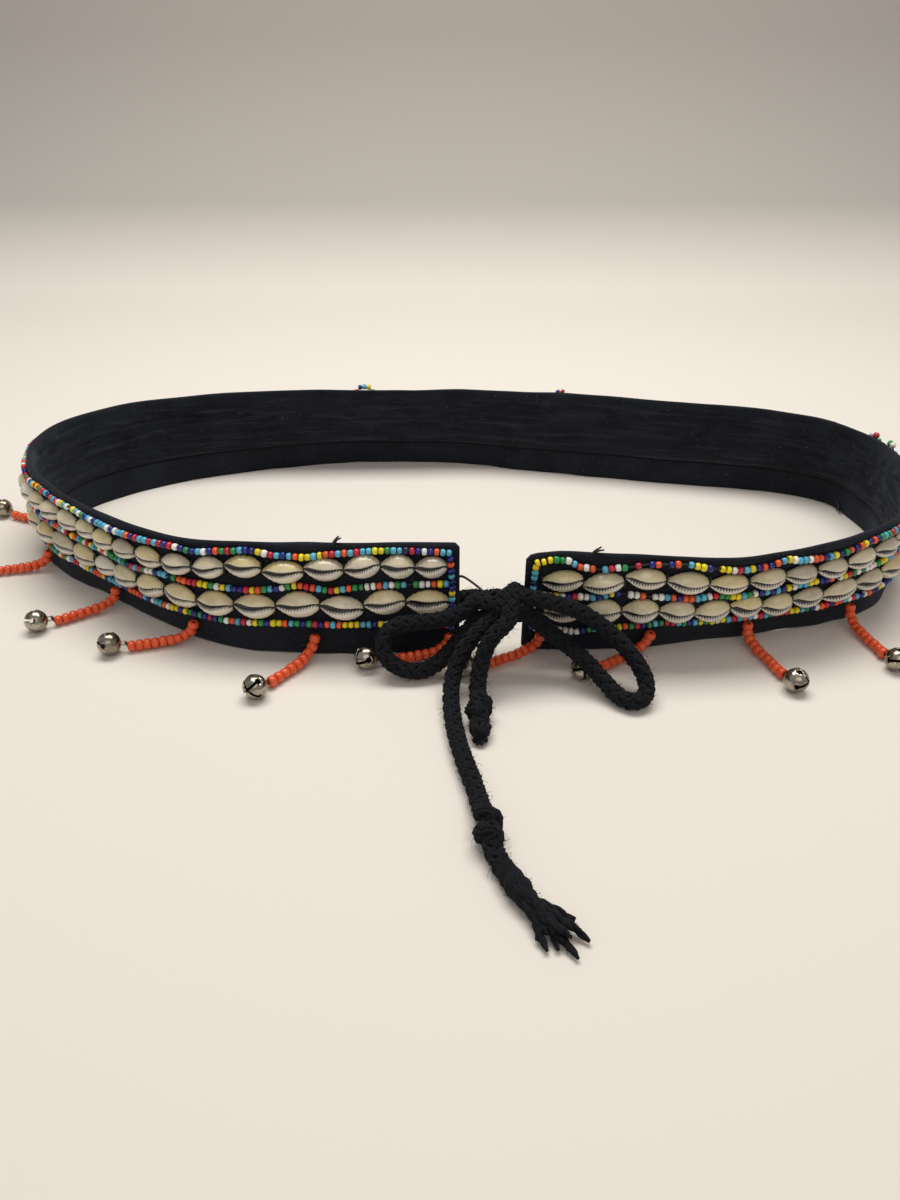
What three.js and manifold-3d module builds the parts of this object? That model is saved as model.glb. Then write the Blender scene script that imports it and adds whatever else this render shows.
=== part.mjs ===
// A beaded belt. A black cloth band stands on its edge as a loop that is open in front.
// Two rows of cowries and rows of seed beads are sewn round its outer face, short bead
// strings with small bells hang from its lowest bead row, and a braided cord on each end
// of the band is tied to the other in a bow across the opening.
// Millimetres, +Z up. The opening faces -Y, and the belt stands on Z = 0.

import * as THREE from "three";
import { mergeVertices } from "three/addons/utils/BufferGeometryUtils.js";
import Module from "manifold-3d";

const wasm = await Module();
wasm.setup();

// The loop
const LOOP_WIDTH = 436;
const LOOP_DEPTH = 214;
const CLOTH = 2.4; // the folded band, all its layers

// What is sewn on the band, from its lower edge up
const LIP = 12; // plain cloth below the beads
const SEED = 3; // a seed bead
const ROW_GAP = 1; // between beads and shells
const LOWER_SHELL = 11.6; // width of a cowrie in the lower row
const UPPER_SHELL = 10;
const HEM = 3.4; // plain cloth above the beads
const SHELL_LENGTH = 18.2;
const SHELL_PROUD = 5.4; // how far a cowrie stands out from its thread
const END_MARGIN = 7; // cloth past the last cowrie, which a column of beads crosses
const CORNER = 1.6; // rounding of the band's corners
const SEW_GAP = 0.3; // between what is sewn on and the cloth

// The strings and their bells
const STRING = 4.6; // a string's beads
const STRING_DROP = 1; // from the lowest bead row down to a string's top
const STRING_REACH = 36; // from a string's top to its bell, along the floor
const BELL = 10;
const LINK_GAP = 0.3; // between a string and its bell

// The braided cords
const CORD = 7.2;
const CORD_SIDES = 8;
const CORD_STEP = 2; // in diameters
const FEWEST_STEPS = 4; // on a short, bent stretch

// Rows sewn on the band, as heights of their middles
const bottomRow = LIP + SEED / 2;
const lowerShells = LIP + SEED + ROW_GAP + LOWER_SHELL / 2;
const middleRow = lowerShells + LOWER_SHELL / 2 + ROW_GAP + SEED / 2;
const upperShells = middleRow + SEED / 2 + ROW_GAP + UPPER_SHELL / 2;
const topRow = upperShells + UPPER_SHELL / 2 + ROW_GAP + SEED / 2;
const BAND_HEIGHT = topRow + SEED / 2 + HEM;

// The loop seen from above, at half the band's height, from the left end of the opening round
// the back to the right end. across and back are shares of half the loop's width and depth.
// lean is how much further out the lower edge stands than the upper one, as a share of the height.
const LOOP = [
  { across: 0.0, back: -0.95, lean: 0.12 },
  { across: -0.24, back: -0.957, lean: 0.12 },
  { across: -0.405, back: -0.94, lean: 0.08 },
  { across: -0.51, back: -0.885, lean: -0.02 },
  { across: -0.63, back: -0.75, lean: -0.13 },
  { across: -0.765, back: -0.535, lean: -0.11 },
  { across: -0.88, back: -0.335, lean: -0.02 },
  { across: -0.96, back: -0.115, lean: 0.0 },
  { across: -0.992, back: 0.14, lean: -0.06 },
  { across: -0.965, back: 0.42, lean: -0.16 },
  { across: -0.865, back: 0.66, lean: -0.22 },
  { across: -0.74, back: 0.805, lean: -0.14 },
  { across: -0.55, back: 0.92, lean: 0.02 },
  { across: -0.325, back: 0.985, lean: 0.22 },
  { across: -0.125, back: 1.0, lean: 0.24 },
  { across: 0.02, back: 0.995, lean: 0.14 },
  { across: 0.17, back: 0.935, lean: 0.02 },
  { across: 0.39, back: 0.83, lean: -0.02 },
  { across: 0.635, back: 0.71, lean: 0.0 },
  { across: 0.83, back: 0.605, lean: 0.08 },
  { across: 0.945, back: 0.455, lean: 0.16 },
  { across: 0.995, back: 0.23, lean: 0.06 },
  { across: 1.0, back: -0.05, lean: 0.0 },
  { across: 0.965, back: -0.36, lean: -0.03 },
  { across: 0.88, back: -0.635, lean: -0.08 },
  { across: 0.755, back: -0.805, lean: -0.22 },
  { across: 0.62, back: -0.9, lean: -0.32 },
  { across: 0.47, back: -0.965, lean: -0.3 },
  { across: 0.33, back: -0.985, lean: -0.17 },
  { across: 0.205, back: -0.975, lean: -0.1 },
  { across: 0.122, back: -0.975, lean: -0.14 },
];

// One cowrie along the band: its width and how proud it stands, as shares of the largest.
// It is threaded to the next one at along = 0, and its pointed end is the far one.
const SHELL_RINGS = [
  { along: 0, width: 0.24, proud: 0.34 },
  { along: 0.24, width: 0.94, proud: 0.96 },
  { along: 0.66, width: 0.84, proud: 0.9 },
];

// A cowrie's section: up as a share of half its width, out as a share of how proud it stands
const SHELL_SECTION = [
  { up: 1, out: 0 },
  { up: 0.78, out: 0.64 },
  { up: -0.06, out: 1 },
  { up: -0.74, out: 0.62 },
  { up: -1, out: 0 },
];

// The strings: along is where one hangs, as a share of the band's length, and turn is the way
// that its lower part lies, in degrees from straight out of the band, towards the left end.
const STRINGS = [
  { along: 0.004, turn: 76 },
  { along: 0.058, turn: 34 },
  { along: 0.109, turn: 53 },
  { along: 0.158, turn: 18 },
  { along: 0.213, turn: 27 },
  { along: 0.26, turn: 26 },
  { along: 0.309, turn: 20 },
  { along: 0.358, turn: -12 },
  { along: 0.407, turn: 15 },
  { along: 0.455, turn: 30 },
  { along: 0.503, turn: -8 },
  { along: 0.551, turn: 12 },
  { along: 0.599, turn: 25 },
  { along: 0.647, turn: -15 },
  { along: 0.695, turn: 10 },
  { along: 0.743, turn: 32 },
  { along: 0.79, turn: 5 },
  { along: 0.856, turn: 17 },
  { along: 0.906, turn: -4 },
  { along: 0.948, turn: 61 },
  { along: 0.9925, turn: 65 },
];

// Routes of the two cords, in millimetres, as the photograph shows them
const CORDS = {
  cord_stub_left: [
    [-11, -96.4, 21.6], [-4.5, -96.2, 21.8], [1.4, -96.6, 22.4], [5.8, -100.2, 25],
    [10.6, -107.2, 28.4],
  ],
  cord_stub_right: [
    [20.2, -105.6, 29.4], [20.8, -102, 26.8], [24, -98.6, 25], [31, -98.2, 24.4],
    [40, -99, 24.2],
  ],
  bow_loop_left: [
    [6.6, -113.8, 31], [3.2, -115.4, 28.2], [-2.7, -116, 24.9], [-9.9, -116, 23],
    [-17, -116, 22.2], [-25, -116.6, 21], [-29.6, -118.2, 18.6], [-31.2, -120.8, 14.8],
    [-30.2, -123.4, 10.4], [-26, -125, 6.8], [-19.7, -125.8, 4.9], [-13.5, -124.8, 5],
    [-8.1, -122.5, 7.6], [-3.1, -119.8, 12.1], [1.4, -118, 17.2], [4.8, -116.6, 20.8],
    [7.6, -115.6, 23.4],
  ],
  bow_loop_right: [
    [28.2, -118.1, 35], [31.4, -119.6, 35], [37.4, -120.4, 33.8], [44.5, -121, 31.6],
    [51.6, -122, 28.3], [57.8, -123.5, 24.1], [63.1, -126, 20], [67.3, -129, 16.2],
    [70.4, -132, 13], [72.6, -135.4, 9.7], [73.4, -139.4, 6.8], [72, -143.2, 4.8],
    [68.2, -145.4, 4], [64, -143.6, 3.9], [60.6, -140, 4.8], [57, -135.8, 7.2],
    [53.2, -132.2, 10.2], [49.3, -128.8, 13], [45.3, -125, 14.8], [40.9, -122.4, 17.4],
    [36, -120.8, 20.6], [31.4, -119.6, 24.4], [28.4, -118.8, 27],
  ],
  tail_long: [
    [12.7, -120.8, 26.6], [9, -123.4, 24.2], [5.2, -125.6, 21.2], [1.7, -128.4, 17],
    [-1.4, -131.6, 11.9], [-3.2, -137, 7.4], [-3.6, -144, 4.5], [-3.2, -152, 3.8],
    [-1.6, -166, 3.8], [1.1, -180, 3.8], [4, -192, 3.9], [6.2, -203.8, 4.6],
  ],
  tail_long_end: [[9.8, -224.8, 4.6], [11.8, -229.6, 3.9], [14.4, -235, 3.8], [16.8, -240, 3.8]],
  tail_short: [
    [20, -123.2, 29.4], [19, -126.4, 29.2], [16.2, -129, 27.6], [13.2, -130.6, 25],
    [10.8, -132, 21.6], [9, -134, 17.4], [7.6, -136.8, 12.8], [6.9, -140.2, 8.8], [6.9, -143.4, 6.4],
  ],
};

// The knot of the bow: turns of the cord that lie over each other, as fused lumps
const KNOT = { x: 18.5, y: -114, z: 31.5 };
const KNOT_LUMPS = [
  { x: -3.4, y: 0.6, z: -0.6, across: 13.6, deep: 12, tall: 14.6 },
  { x: 4.2, y: 0.8, z: 0.4, across: 13.6, deep: 13, tall: 13 },
  { x: 0.4, y: 0, z: 4.4, across: 15, deep: 10.4, tall: 9.6 },
  { x: -1, y: -4.2, z: -3.2, across: 12, deep: 8, tall: 9 },
];

// The overhand knots near the cords' ends: turn is degrees from straight away from the belt
const END_KNOT = { across: 12.6, tall: 12 };
const END_KNOTS = {
  end_knot_long: { place: [8, -214.4, 6.1], length: 19, turn: 12 },
  end_knot_short: { place: [7, -151.2, 6.1], length: 13, turn: 0 },
};

// The loose yarns past the last knot: from is where they start, and each yarn has its own tip
const FRAYS = {
  fray_long: {
    from: [18.6, -244.6, 3.7],
    tips: [[32.5, -249.6, 1.8], [36, -257.6, 1.4], [32.2, -262.6, 1.6], [27.4, -262, 1.4], [21.8, -259, 1.6]],
  },
  fray_short: {
    from: [7.2, -161.4, 3.8],
    tips: [[3.6, -170, 1.6], [7.4, -173, 1.6], [11, -169.6, 1.4]],
  },
};
const YARN = 3.4; // thick end of one loose yarn

const blackCloth = finish("#15171b", 0.92, 0);
const cowrie = finish("#d8cdb4", 0.3, 0);
const seedGlass = finish("#3f86b5", 0.25, 0);
const coralGlass = finish("#d9482b", 0.28, 0);
const bellMetal = finish("#9d9788", 0.32, 1);
const braid = finish("#101214", 0.95, 0);

function finish(color, roughness, metalness) {
  return new THREE.MeshStandardMaterial({ color, roughness, metalness });
}

// The loop as a smooth curve, with the lean carried as its third coordinate
const loopCurve = new THREE.CatmullRomCurve3(
  LOOP.map((row) => new THREE.Vector3(
    (row.across * LOOP_WIDTH) / 2,
    (row.back * LOOP_DEPTH) / 2,
    row.lean * BAND_HEIGHT,
  )),
  false,
  "centripetal",
);
const CURVE_SAMPLES = 900;
const samples = loopCurve.getPoints(CURVE_SAMPLES);
const travelled = [0];
for (let i = 1; i < samples.length; i += 1) {
  const stride = Math.hypot(samples[i].x - samples[i - 1].x, samples[i].y - samples[i - 1].y);
  travelled.push(travelled[i - 1] + stride);
}
const bandLength = travelled[travelled.length - 1];

function sampleAt(along) {
  const wanted = Math.min(Math.max(along, 0), bandLength);
  let i = 1;
  while (i < travelled.length - 1 && travelled[i] < wanted) i += 1;
  const share = (wanted - travelled[i - 1]) / (travelled[i] - travelled[i - 1]);
  return samples[i - 1].clone().lerp(samples[i], share);
}

// Stations along the band: each is where two cowries meet, or lies close to an end.
// Everything sewn on shares them, so that it lies on the band's own facets.
const shellCount = Math.round((bandLength - 2 * END_MARGIN) / SHELL_LENGTH);
const shellPitch = (bandLength - 2 * END_MARGIN) / shellCount;
const columnAt = END_MARGIN / 2 - SEW_GAP;
const stationPlaces = [0, CORNER];
for (let i = 0; i <= shellCount; i += 1) stationPlaces.push(END_MARGIN + i * shellPitch);
stationPlaces.push(bandLength - CORNER, bandLength);

const NORMAL_REACH = 4; // how far to each side the band's direction is taken
const stations = stationPlaces.map((along) => {
  const here = sampleAt(along);
  const before = sampleAt(along - NORMAL_REACH);
  const after = sampleAt(along + NORMAL_REACH);
  const run = new THREE.Vector2(after.x - before.x, after.y - before.y).normalize();
  return { along, x: here.x, y: here.y, lean: here.z, outX: -run.y, outY: run.x };
});

// A point on the band: along it, up from its lower edge, and out from its middle layer
function onBand(along, up, out) {
  let i = 1;
  while (i < stations.length - 1 && stations[i].along < along) i += 1;
  const a = stations[i - 1];
  const b = stations[i];
  const t = (along - a.along) / (b.along - a.along);
  const mix = (key) => a[key] + (b[key] - a[key]) * t;
  const reach = out + mix("lean") * (0.5 - up / BAND_HEIGHT);
  return new THREE.Vector3(mix("x") + mix("outX") * reach, mix("y") + mix("outY") * reach, up);
}

// The way out of the band at a place along it
function outwards(along) {
  return onBand(along, 0, 1).sub(onBand(along, 0, 0)).normalize();
}

// A closed solid through rings of points, with its ends capped
function loft(rings) {
  const size = rings[0].length;
  const positions = rings.flat().flatMap((p) => [p.x, p.y, p.z]);
  const faces = [];
  const last = (rings.length - 1) * size;
  for (let a = 0; a < last; a += size) {
    const b = a + size;
    for (let j = 0; j < size; j += 1) {
      const k = (j + 1) % size;
      faces.push(a + j, b + j, b + k, a + j, b + k, a + k);
    }
  }
  for (let j = 1; j < size - 1; j += 1) {
    faces.push(0, j, j + 1);
    faces.push(last, last + j + 1, last + j);
  }
  const geometry = new THREE.BufferGeometry();
  geometry.setAttribute("position", new THREE.Float32BufferAttribute(positions, 3));
  geometry.setIndex(faces);
  return geometry;
}

function asSolid(geometry) {
  const bare = geometry.clone();
  bare.deleteAttribute("normal");
  bare.deleteAttribute("uv");
  const merged = mergeVertices(bare);
  return new wasm.Manifold(new wasm.Mesh({
    numProp: 3,
    vertProperties: new Float32Array(merged.attributes.position.array),
    triVerts: new Uint32Array(merged.index.array),
  }));
}

function fuse(geometries) {
  const mesh = geometries.map(asSolid).reduce((whole, next) => whole.add(next)).getMesh();
  const geometry = new THREE.BufferGeometry();
  geometry.setAttribute("position", new THREE.BufferAttribute(mesh.vertProperties, 3));
  geometry.setIndex(new THREE.BufferAttribute(mesh.triVerts, 1));
  return geometry;
}

function named(name, geometry, material) {
  const mesh = new THREE.Mesh(geometry, material);
  mesh.name = name;
  return mesh;
}

// The cloth band: a strip with a rounded upper edge and rounded corners at both ends
function clothBand() {
  const half = CLOTH / 2;
  const section = [
    { up: 0, out: -half },
    { up: BAND_HEIGHT - half, out: -half },
    { up: BAND_HEIGHT, out: -half / 2 },
    { up: BAND_HEIGHT, out: half / 2 },
    { up: BAND_HEIGHT - half, out: half },
    { up: upperShells, out: half },
    { up: middleRow, out: half },
    { up: lowerShells, out: half },
    { up: bottomRow, out: half },
    { up: 0, out: half },
  ];
  const rings = stations.map(({ along }) => {
    const cut = Math.max(0, CORNER - Math.min(along, bandLength - along));
    const span = 1 - (2 * cut) / BAND_HEIGHT;
    return section.map(({ up, out }) => onBand(along, cut + up * span, out));
  });
  return loft(rings);
}

// A row of cowries threaded side by side, as one chain
function shellRow(middle, width) {
  const back = CLOTH / 2 + SEW_GAP;
  const rings = [];
  const addRing = (along, ring) => {
    rings.push(SHELL_SECTION.map(({ up, out }) => onBand(
      along,
      middle + (up * ring.width * width) / 2,
      back + out * ring.proud * SHELL_PROUD,
    )));
  };
  for (let i = 0; i < shellCount; i += 1) {
    for (const ring of SHELL_RINGS) addRing(END_MARGIN + (i + ring.along) * shellPitch, ring);
  }
  addRing(END_MARGIN + shellCount * shellPitch, SHELL_RINGS[0]);
  return loft(rings);
}

// A ridge of seed beads along a path of (along, up) places on the band
const RIDGE_SECTION = [
  { side: 0.5, out: 0 },
  { side: 0.42, out: 0.7 },
  { side: 0, out: 1 },
  { side: -0.42, out: 0.7 },
  { side: -0.5, out: 0 },
];

function beadRidge(path) {
  const back = CLOTH / 2 + SEW_GAP;
  const rings = path.map((place, i) => {
    const before = path[Math.max(i - 1, 0)];
    const after = path[Math.min(i + 1, path.length - 1)];
    const way = new THREE.Vector2(after.x - before.x, after.y - before.y).normalize();
    return RIDGE_SECTION.map(({ side, out }) => onBand(
      place.x - way.y * side * SEED,
      place.y + way.x * side * SEED,
      back + out * SEED,
    ));
  });
  return loft(rings);
}

// The top row, which turns down at both ends of the band as a column of beads
function beadBorder() {
  const inner = stationPlaces.filter((s) => s > columnAt + SEED && s < bandLength - columnAt - SEED);
  const foot = bottomRow - SEED / 2;
  const shoulder = topRow - SEED / 2;
  return beadRidge([
    new THREE.Vector2(columnAt, foot),
    new THREE.Vector2(columnAt, shoulder),
    ...inner.map((s) => new THREE.Vector2(s, topRow)),
    new THREE.Vector2(bandLength - columnAt, shoulder),
    new THREE.Vector2(bandLength - columnAt, foot),
  ]);
}

// A level row of beads from one end column to the other
function beadRow(height) {
  const inset = columnAt + SEED / 2 + SEW_GAP;
  const inner = stationPlaces.filter((s) => s > inset && s < bandLength - inset);
  const path = [inset, ...inner, bandLength - inset].map((s) => new THREE.Vector2(s, height));
  return beadRidge(path);
}

function roundSection(diameter, sides) {
  const points = [];
  for (let i = 0; i < sides; i += 1) {
    const angle = (i * 2 * Math.PI) / sides;
    points.push(new THREE.Vector2(Math.cos(angle), Math.sin(angle)).multiplyScalar(diameter / 2));
  }
  return new THREE.Shape(points);
}

function tube(curve, diameter, sides, steps) {
  const settings = { steps, extrudePath: curve, bevelEnabled: false };
  return new THREE.ExtrudeGeometry(roundSection(diameter, sides), settings);
}

// A string of beads that hangs from the lowest bead row and lies out over the floor, and its bell
const STRING_STEPS = 5;
const STRING_SIDES = 8;
const BELL_SIDES = 10;
const BELL_RINGS = 5;
const FLOOR_GAP = 0.15;
const upwards = new THREE.Vector3(0, 0, 1);

function dangle(row, number) {
  const along = row.along * bandLength;
  const lie = outwards(along).applyAxisAngle(upwards, THREE.MathUtils.degToRad(-row.turn));
  const top = onBand(along, LIP - STRING_DROP, CLOTH / 2 + SEW_GAP + STRING / 2);
  const foot = onBand(along, 0, CLOTH / 2 + SEW_GAP + STRING / 2).setZ(STRING / 2 + FLOOR_GAP);
  const bellPlace = top.clone().addScaledVector(lie, STRING_REACH).setZ(BELL / 2);
  const end = bellPlace.clone().addScaledVector(lie, -BELL / 2 - LINK_GAP).setZ(foot.z);
  const curve = new THREE.CubicBezierCurve3(top, foot, foot.clone().lerp(end, 0.35), end);
  const string = tube(curve, STRING, STRING_SIDES, STRING_STEPS);
  const bell = new THREE.SphereGeometry(BELL / 2, BELL_SIDES, BELL_RINGS);
  bell.rotateX(Math.PI / 2);
  const label = String(number).padStart(2, "0");
  const bellMesh = named(`bell_${label}`, bell, bellMetal);
  bellMesh.position.copy(bellPlace);
  return [named(`string_${label}`, string, coralGlass), bellMesh];
}

function cordTube(points) {
  const curve = new THREE.CatmullRomCurve3(
    points.map(([x, y, z]) => new THREE.Vector3(x, y, z)),
    false,
    "centripetal",
  );
  const steps = Math.max(FEWEST_STEPS, Math.round(curve.getLength() / (CORD_STEP * CORD)));
  return tube(curve, CORD, CORD_SIDES, steps);
}

function lump({ x, y, z, across, deep, tall }) {
  const ball = new THREE.SphereGeometry(0.5, 10, 6);
  ball.scale(across, deep, tall);
  ball.translate(x, y, z);
  return ball;
}

// Loose yarns fused to the cord's end
function fray({ from, tips }) {
  const start = new THREE.Vector3(...from);
  const head = new THREE.SphereGeometry(CORD / 2, 8, 5);
  head.translate(start.x, start.y, start.z);
  const yarns = tips.map((tip) => {
    const end = new THREE.Vector3(...tip);
    const way = end.clone().sub(start);
    const yarn = new THREE.CylinderGeometry(YARN / 4, YARN / 2, way.length(), 5);
    yarn.translate(0, way.length() / 2, 0);
    yarn.applyQuaternion(new THREE.Quaternion().setFromUnitVectors(
      new THREE.Vector3(0, 1, 0),
      way.normalize(),
    ));
    yarn.translate(start.x, start.y, start.z);
    return yarn;
  });
  return fuse([head, ...yarns]);
}

const belt = new THREE.Group();
belt.add(named("cloth_band", clothBand(), blackCloth));
belt.add(named("shell_row_upper", shellRow(upperShells, UPPER_SHELL), cowrie));
belt.add(named("shell_row_lower", shellRow(lowerShells, LOWER_SHELL), cowrie));
belt.add(named("bead_border_top", beadBorder(), seedGlass));
belt.add(named("bead_midline", beadRow(middleRow), seedGlass));
belt.add(named("bead_border_bottom", beadRow(bottomRow), seedGlass));
STRINGS.forEach((row, i) => belt.add(...dangle(row, i + 1)));

// The belt without its cords sets the frame: its middle in plan is the origin
const frame = new THREE.Box3().setFromObject(belt);
const middle = frame.getCenter(new THREE.Vector3());

for (const [name, points] of Object.entries(CORDS)) {
  belt.add(named(name, cordTube(points), braid));
}
const bowKnot = named("bow_knot", fuse(KNOT_LUMPS.map(lump)), braid);
bowKnot.position.set(KNOT.x, KNOT.y, KNOT.z);
belt.add(bowKnot);
for (const [name, { place, length, turn }] of Object.entries(END_KNOTS)) {
  const ball = lump({ x: 0, y: 0, z: 0, across: END_KNOT.across, deep: length, tall: END_KNOT.tall });
  const knot = named(name, ball, braid);
  knot.rotation.z = THREE.MathUtils.degToRad(turn);
  knot.position.set(...place);
  belt.add(knot);
}
for (const [name, row] of Object.entries(FRAYS)) belt.add(named(name, fray(row), braid));
belt.position.set(-middle.x, -middle.y, 0);

export default belt;
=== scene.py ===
import math
import random

import bmesh
import bpy
from mathutils import Matrix, Vector, noise


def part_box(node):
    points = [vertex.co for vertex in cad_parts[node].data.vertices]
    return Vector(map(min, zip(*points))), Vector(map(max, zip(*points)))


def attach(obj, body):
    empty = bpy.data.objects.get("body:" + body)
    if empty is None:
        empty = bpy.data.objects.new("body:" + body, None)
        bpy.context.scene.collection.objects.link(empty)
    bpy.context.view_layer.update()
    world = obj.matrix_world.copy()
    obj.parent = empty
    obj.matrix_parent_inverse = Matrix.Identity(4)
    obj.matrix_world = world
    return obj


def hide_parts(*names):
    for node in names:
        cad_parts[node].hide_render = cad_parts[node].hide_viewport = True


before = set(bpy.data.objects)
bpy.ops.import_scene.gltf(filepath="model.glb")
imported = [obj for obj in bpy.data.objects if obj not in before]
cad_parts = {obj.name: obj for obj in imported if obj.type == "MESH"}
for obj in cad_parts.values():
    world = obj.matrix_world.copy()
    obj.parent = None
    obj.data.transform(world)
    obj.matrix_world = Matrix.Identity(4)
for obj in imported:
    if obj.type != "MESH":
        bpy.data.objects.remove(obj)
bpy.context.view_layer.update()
mm = 0.001
upright = Vector((0, 0, 1))
scene = bpy.context.scene


# Small helpers

def addObject(name, data):
    thing = bpy.data.objects.new(name, data)
    scene.collection.objects.link(thing)
    return thing


def smoothLine(controls, perSpan):
    # a centripetal Catmull-Rom line through the controls, as the CAD routes have it
    points = [Vector(c) for c in controls]
    points = [points[0] * 2 - points[1]] + points + [points[-1] * 2 - points[-2]]
    line = []
    for a, b, c, d in zip(points, points[1:], points[2:], points[3:]):
        near, here, far = (math.sqrt((q - p).length) for p, q in ((a, b), (b, c), (c, d)))
        slopeIn = ((b - a) / near - (c - a) / (near + here) + (c - b) / here) * here
        slopeOut = ((c - b) / here - (d - b) / (here + far) + (d - c) / far) * here
        for i in range(perSpan):
            t = i / perSpan
            cubic = 2 * b - 2 * c + slopeIn + slopeOut
            square = 3 * c - 3 * b - 2 * slopeIn - slopeOut
            line.append(b + slopeIn * t + square * t * t + cubic * t ** 3)
    return line + [points[-2]]


def rough(x, y, layer):
    return noise.noise(Vector((x, y, layer)))


def travel(line):
    # how far along the line each of its points is
    run = [0.0]
    for a, b in zip(line, line[1:]):
        run.append(run[-1] + (b - a).length)
    return run


def evenly(line, step):
    # the same line with points a step apart
    run = travel(line)
    count = max(2, round(run[-1] / step))
    out, i = [], 1
    for k in range(count + 1):
        wanted = run[-1] * k / count
        while i < len(line) - 1 and run[i] < wanted:
            i += 1
        out.append(line[i - 1].lerp(line[i], (wanted - run[i - 1]) / (run[i] - run[i - 1])))
    return out


def readTable(table, at):
    # a smooth step from each of the table's points to the next
    for (x0, y0), (x1, y1) in zip(table, table[1:]):
        if at <= x1:
            t = (at - x0) / (x1 - x0)
            return y0 + (y1 - y0) * (3 * t * t - 2 * t ** 3)
    return table[-1][1]


def carried(line):
    # a frame at each point, turned as little as possible from one point to the next
    side = (line[1] - line[0]).orthogonal().normalized()
    frames = []
    for i, here in enumerate(line):
        way = (line[min(i + 1, len(line) - 1)] - line[max(i - 1, 0)]).normalized()
        side = (side - way * side.dot(way)).normalized()
        frames.append((here, side, way.cross(side)))
    return frames


def asMesh(name, curve, material):
    # a curve turned into a mesh piece of one material
    holder = addObject(name + "_curve", curve)
    bpy.context.view_layer.update()
    mesh = bpy.data.meshes.new_from_object(holder.evaluated_get(bpy.context.evaluated_depsgraph_get()))
    bpy.data.objects.remove(holder)
    mesh.name = name
    mesh.materials.clear()
    mesh.materials.append(material)
    mesh.shade_smooth()
    return addObject(name, mesh)


def newTube(name, radius):
    # a six-sided tube for the lines that addLine adds
    curve = bpy.data.curves.new(name, "CURVE")
    curve.dimensions = "3D"
    curve.bevel_depth = radius * mm
    curve.bevel_resolution = 1
    curve.use_fill_caps = True
    return curve


def addLine(curve, points, thickness=None):
    # one more line of points in millimetres; thickness is each point's share of the tube's radius
    spline = curve.splines.new("POLY")
    spline.points.add(len(points) - 1)
    for i, (point, target) in enumerate(zip(points, spline.points)):
        target.co = (*(point * mm), 1)
        target.radius = thickness[i] if thickness else 1


def asTemplate(name, bm):
    mesh = bpy.data.meshes.new(name)
    bm.to_mesh(mesh)
    bm.free()
    return mesh


def fromBmesh(name, bm, *materials):
    mesh = asTemplate(name, bm)
    for material in materials:
        mesh.materials.append(material)
    mesh.shade_smooth()
    return addObject(name, mesh)


def addCopy(bm, template, place):
    # a copy of the template mesh; its new vertices are given back
    known = len(bm.verts)
    bm.from_mesh(template)
    bm.verts.ensure_lookup_table()
    fresh = bm.verts[known:]
    bmesh.ops.transform(bm, matrix=place, verts=fresh)
    return fresh


def axes(x, y, z, at):
    # the matrix that puts a template's own axes along x, y and z, all in millimetres
    return Matrix.Scale(mm, 4) @ Matrix.Translation(at) @ Matrix((x, y, z)).transposed().to_4x4()


def around(side, up, angle):
    return side * math.cos(angle) + up * math.sin(angle)


def lathed(name, profile, sides):
    # a bead round the x axis, from points along it and out from it
    bm = bmesh.new()
    ring = [bm.verts.new((x, r, 0)) for x, r in profile]
    edges = [bm.edges.new((a, b)) for a, b in zip(ring, ring[1:] + ring[:1])]
    bmesh.ops.spin(bm, geom=edges, cent=(0, 0, 0), axis=(1, 0, 0), angle=math.tau, steps=sides, use_merge=True)
    bmesh.ops.recalc_face_normals(bm, faces=bm.faces)
    return asTemplate(name, bm)


# Camera, at the photograph's own place

camera = {"place": (-5.83, -445.87, 222.0), "tilt": 59.7, "lens": 28.05, "sensor": 36}
eye = addObject("camera", bpy.data.cameras.new("camera"))
eye.location = Vector(camera["place"]) * mm
eye.rotation_euler = (math.radians(camera["tilt"]), 0, 0)
eye.data.lens = camera["lens"]
eye.data.sensor_width = camera["sensor"]
scene.camera = eye
print("camera placed")


# Materials

def linear(hexColour):
    shares = [int(hexColour[i:i + 2], 16) / 255 for i in (1, 3, 5)]
    return (*(c / 12.92 if c <= 0.04045 else ((c + 0.055) / 1.055) ** 2.4 for c in shares), 1)


def grey(level):
    return (level, level, level, 1)


def per(size):
    # the scale of a noise whose patches are about this many millimetres across
    return 1 / (size * mm)


def addNode(tree, kind, inputs=None, stops=(), **settings):
    # inputs are values or other nodes' outputs; stops are a colour ramp's places and colours
    node = tree.nodes.new("ShaderNode" + kind)
    for name, value in settings.items():
        setattr(node, name, value)
    for name, value in (inputs or {}).items():
        if isinstance(value, bpy.types.NodeSocket):
            tree.links.new(value, node.inputs[name])
        else:
            node.inputs[name].default_value = value
    if stops:
        elements = node.color_ramp.elements
        while len(elements) < len(stops):
            elements.new(0.5)
        for element, (place, colour) in zip(elements, stops):
            element.position = place
            element.color = colour if isinstance(colour, tuple) else linear(colour)
    return node


def newMaterial(name):
    # the material, its nodes and the place that its patterns read
    material = bpy.data.materials.new(name)
    material.use_nodes = True
    tree = material.node_tree
    tree.nodes.clear()
    return material, tree, addNode(tree, "TexCoord").outputs["Object"]


def closeMaterial(material, inputs):
    tree = material.node_tree
    shader = addNode(tree, "BsdfPrincipled", inputs)
    addNode(tree, "OutputMaterial", {"Surface": shader.outputs[0]})
    return material


def mottled(tree, place, size, detail, stops, roughness=0.5):
    # patches of the stops' colours, and the noise that they follow
    noisy = addNode(tree, "TexNoise", {
        "Vector": place, "Scale": per(size), "Detail": detail, "Roughness": roughness,
    }).outputs["Fac"]
    return addNode(tree, "ValToRGB", {"Fac": noisy}, stops).outputs["Color"], noisy


def layered(tree, colour, *layers):
    # each layer is the share that it covers and its own colour
    for share, over in layers:
        colour = addNode(tree, "Mix", {0: share, 6: colour, 7: over}, data_type="RGBA").outputs[2]
    return colour


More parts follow.
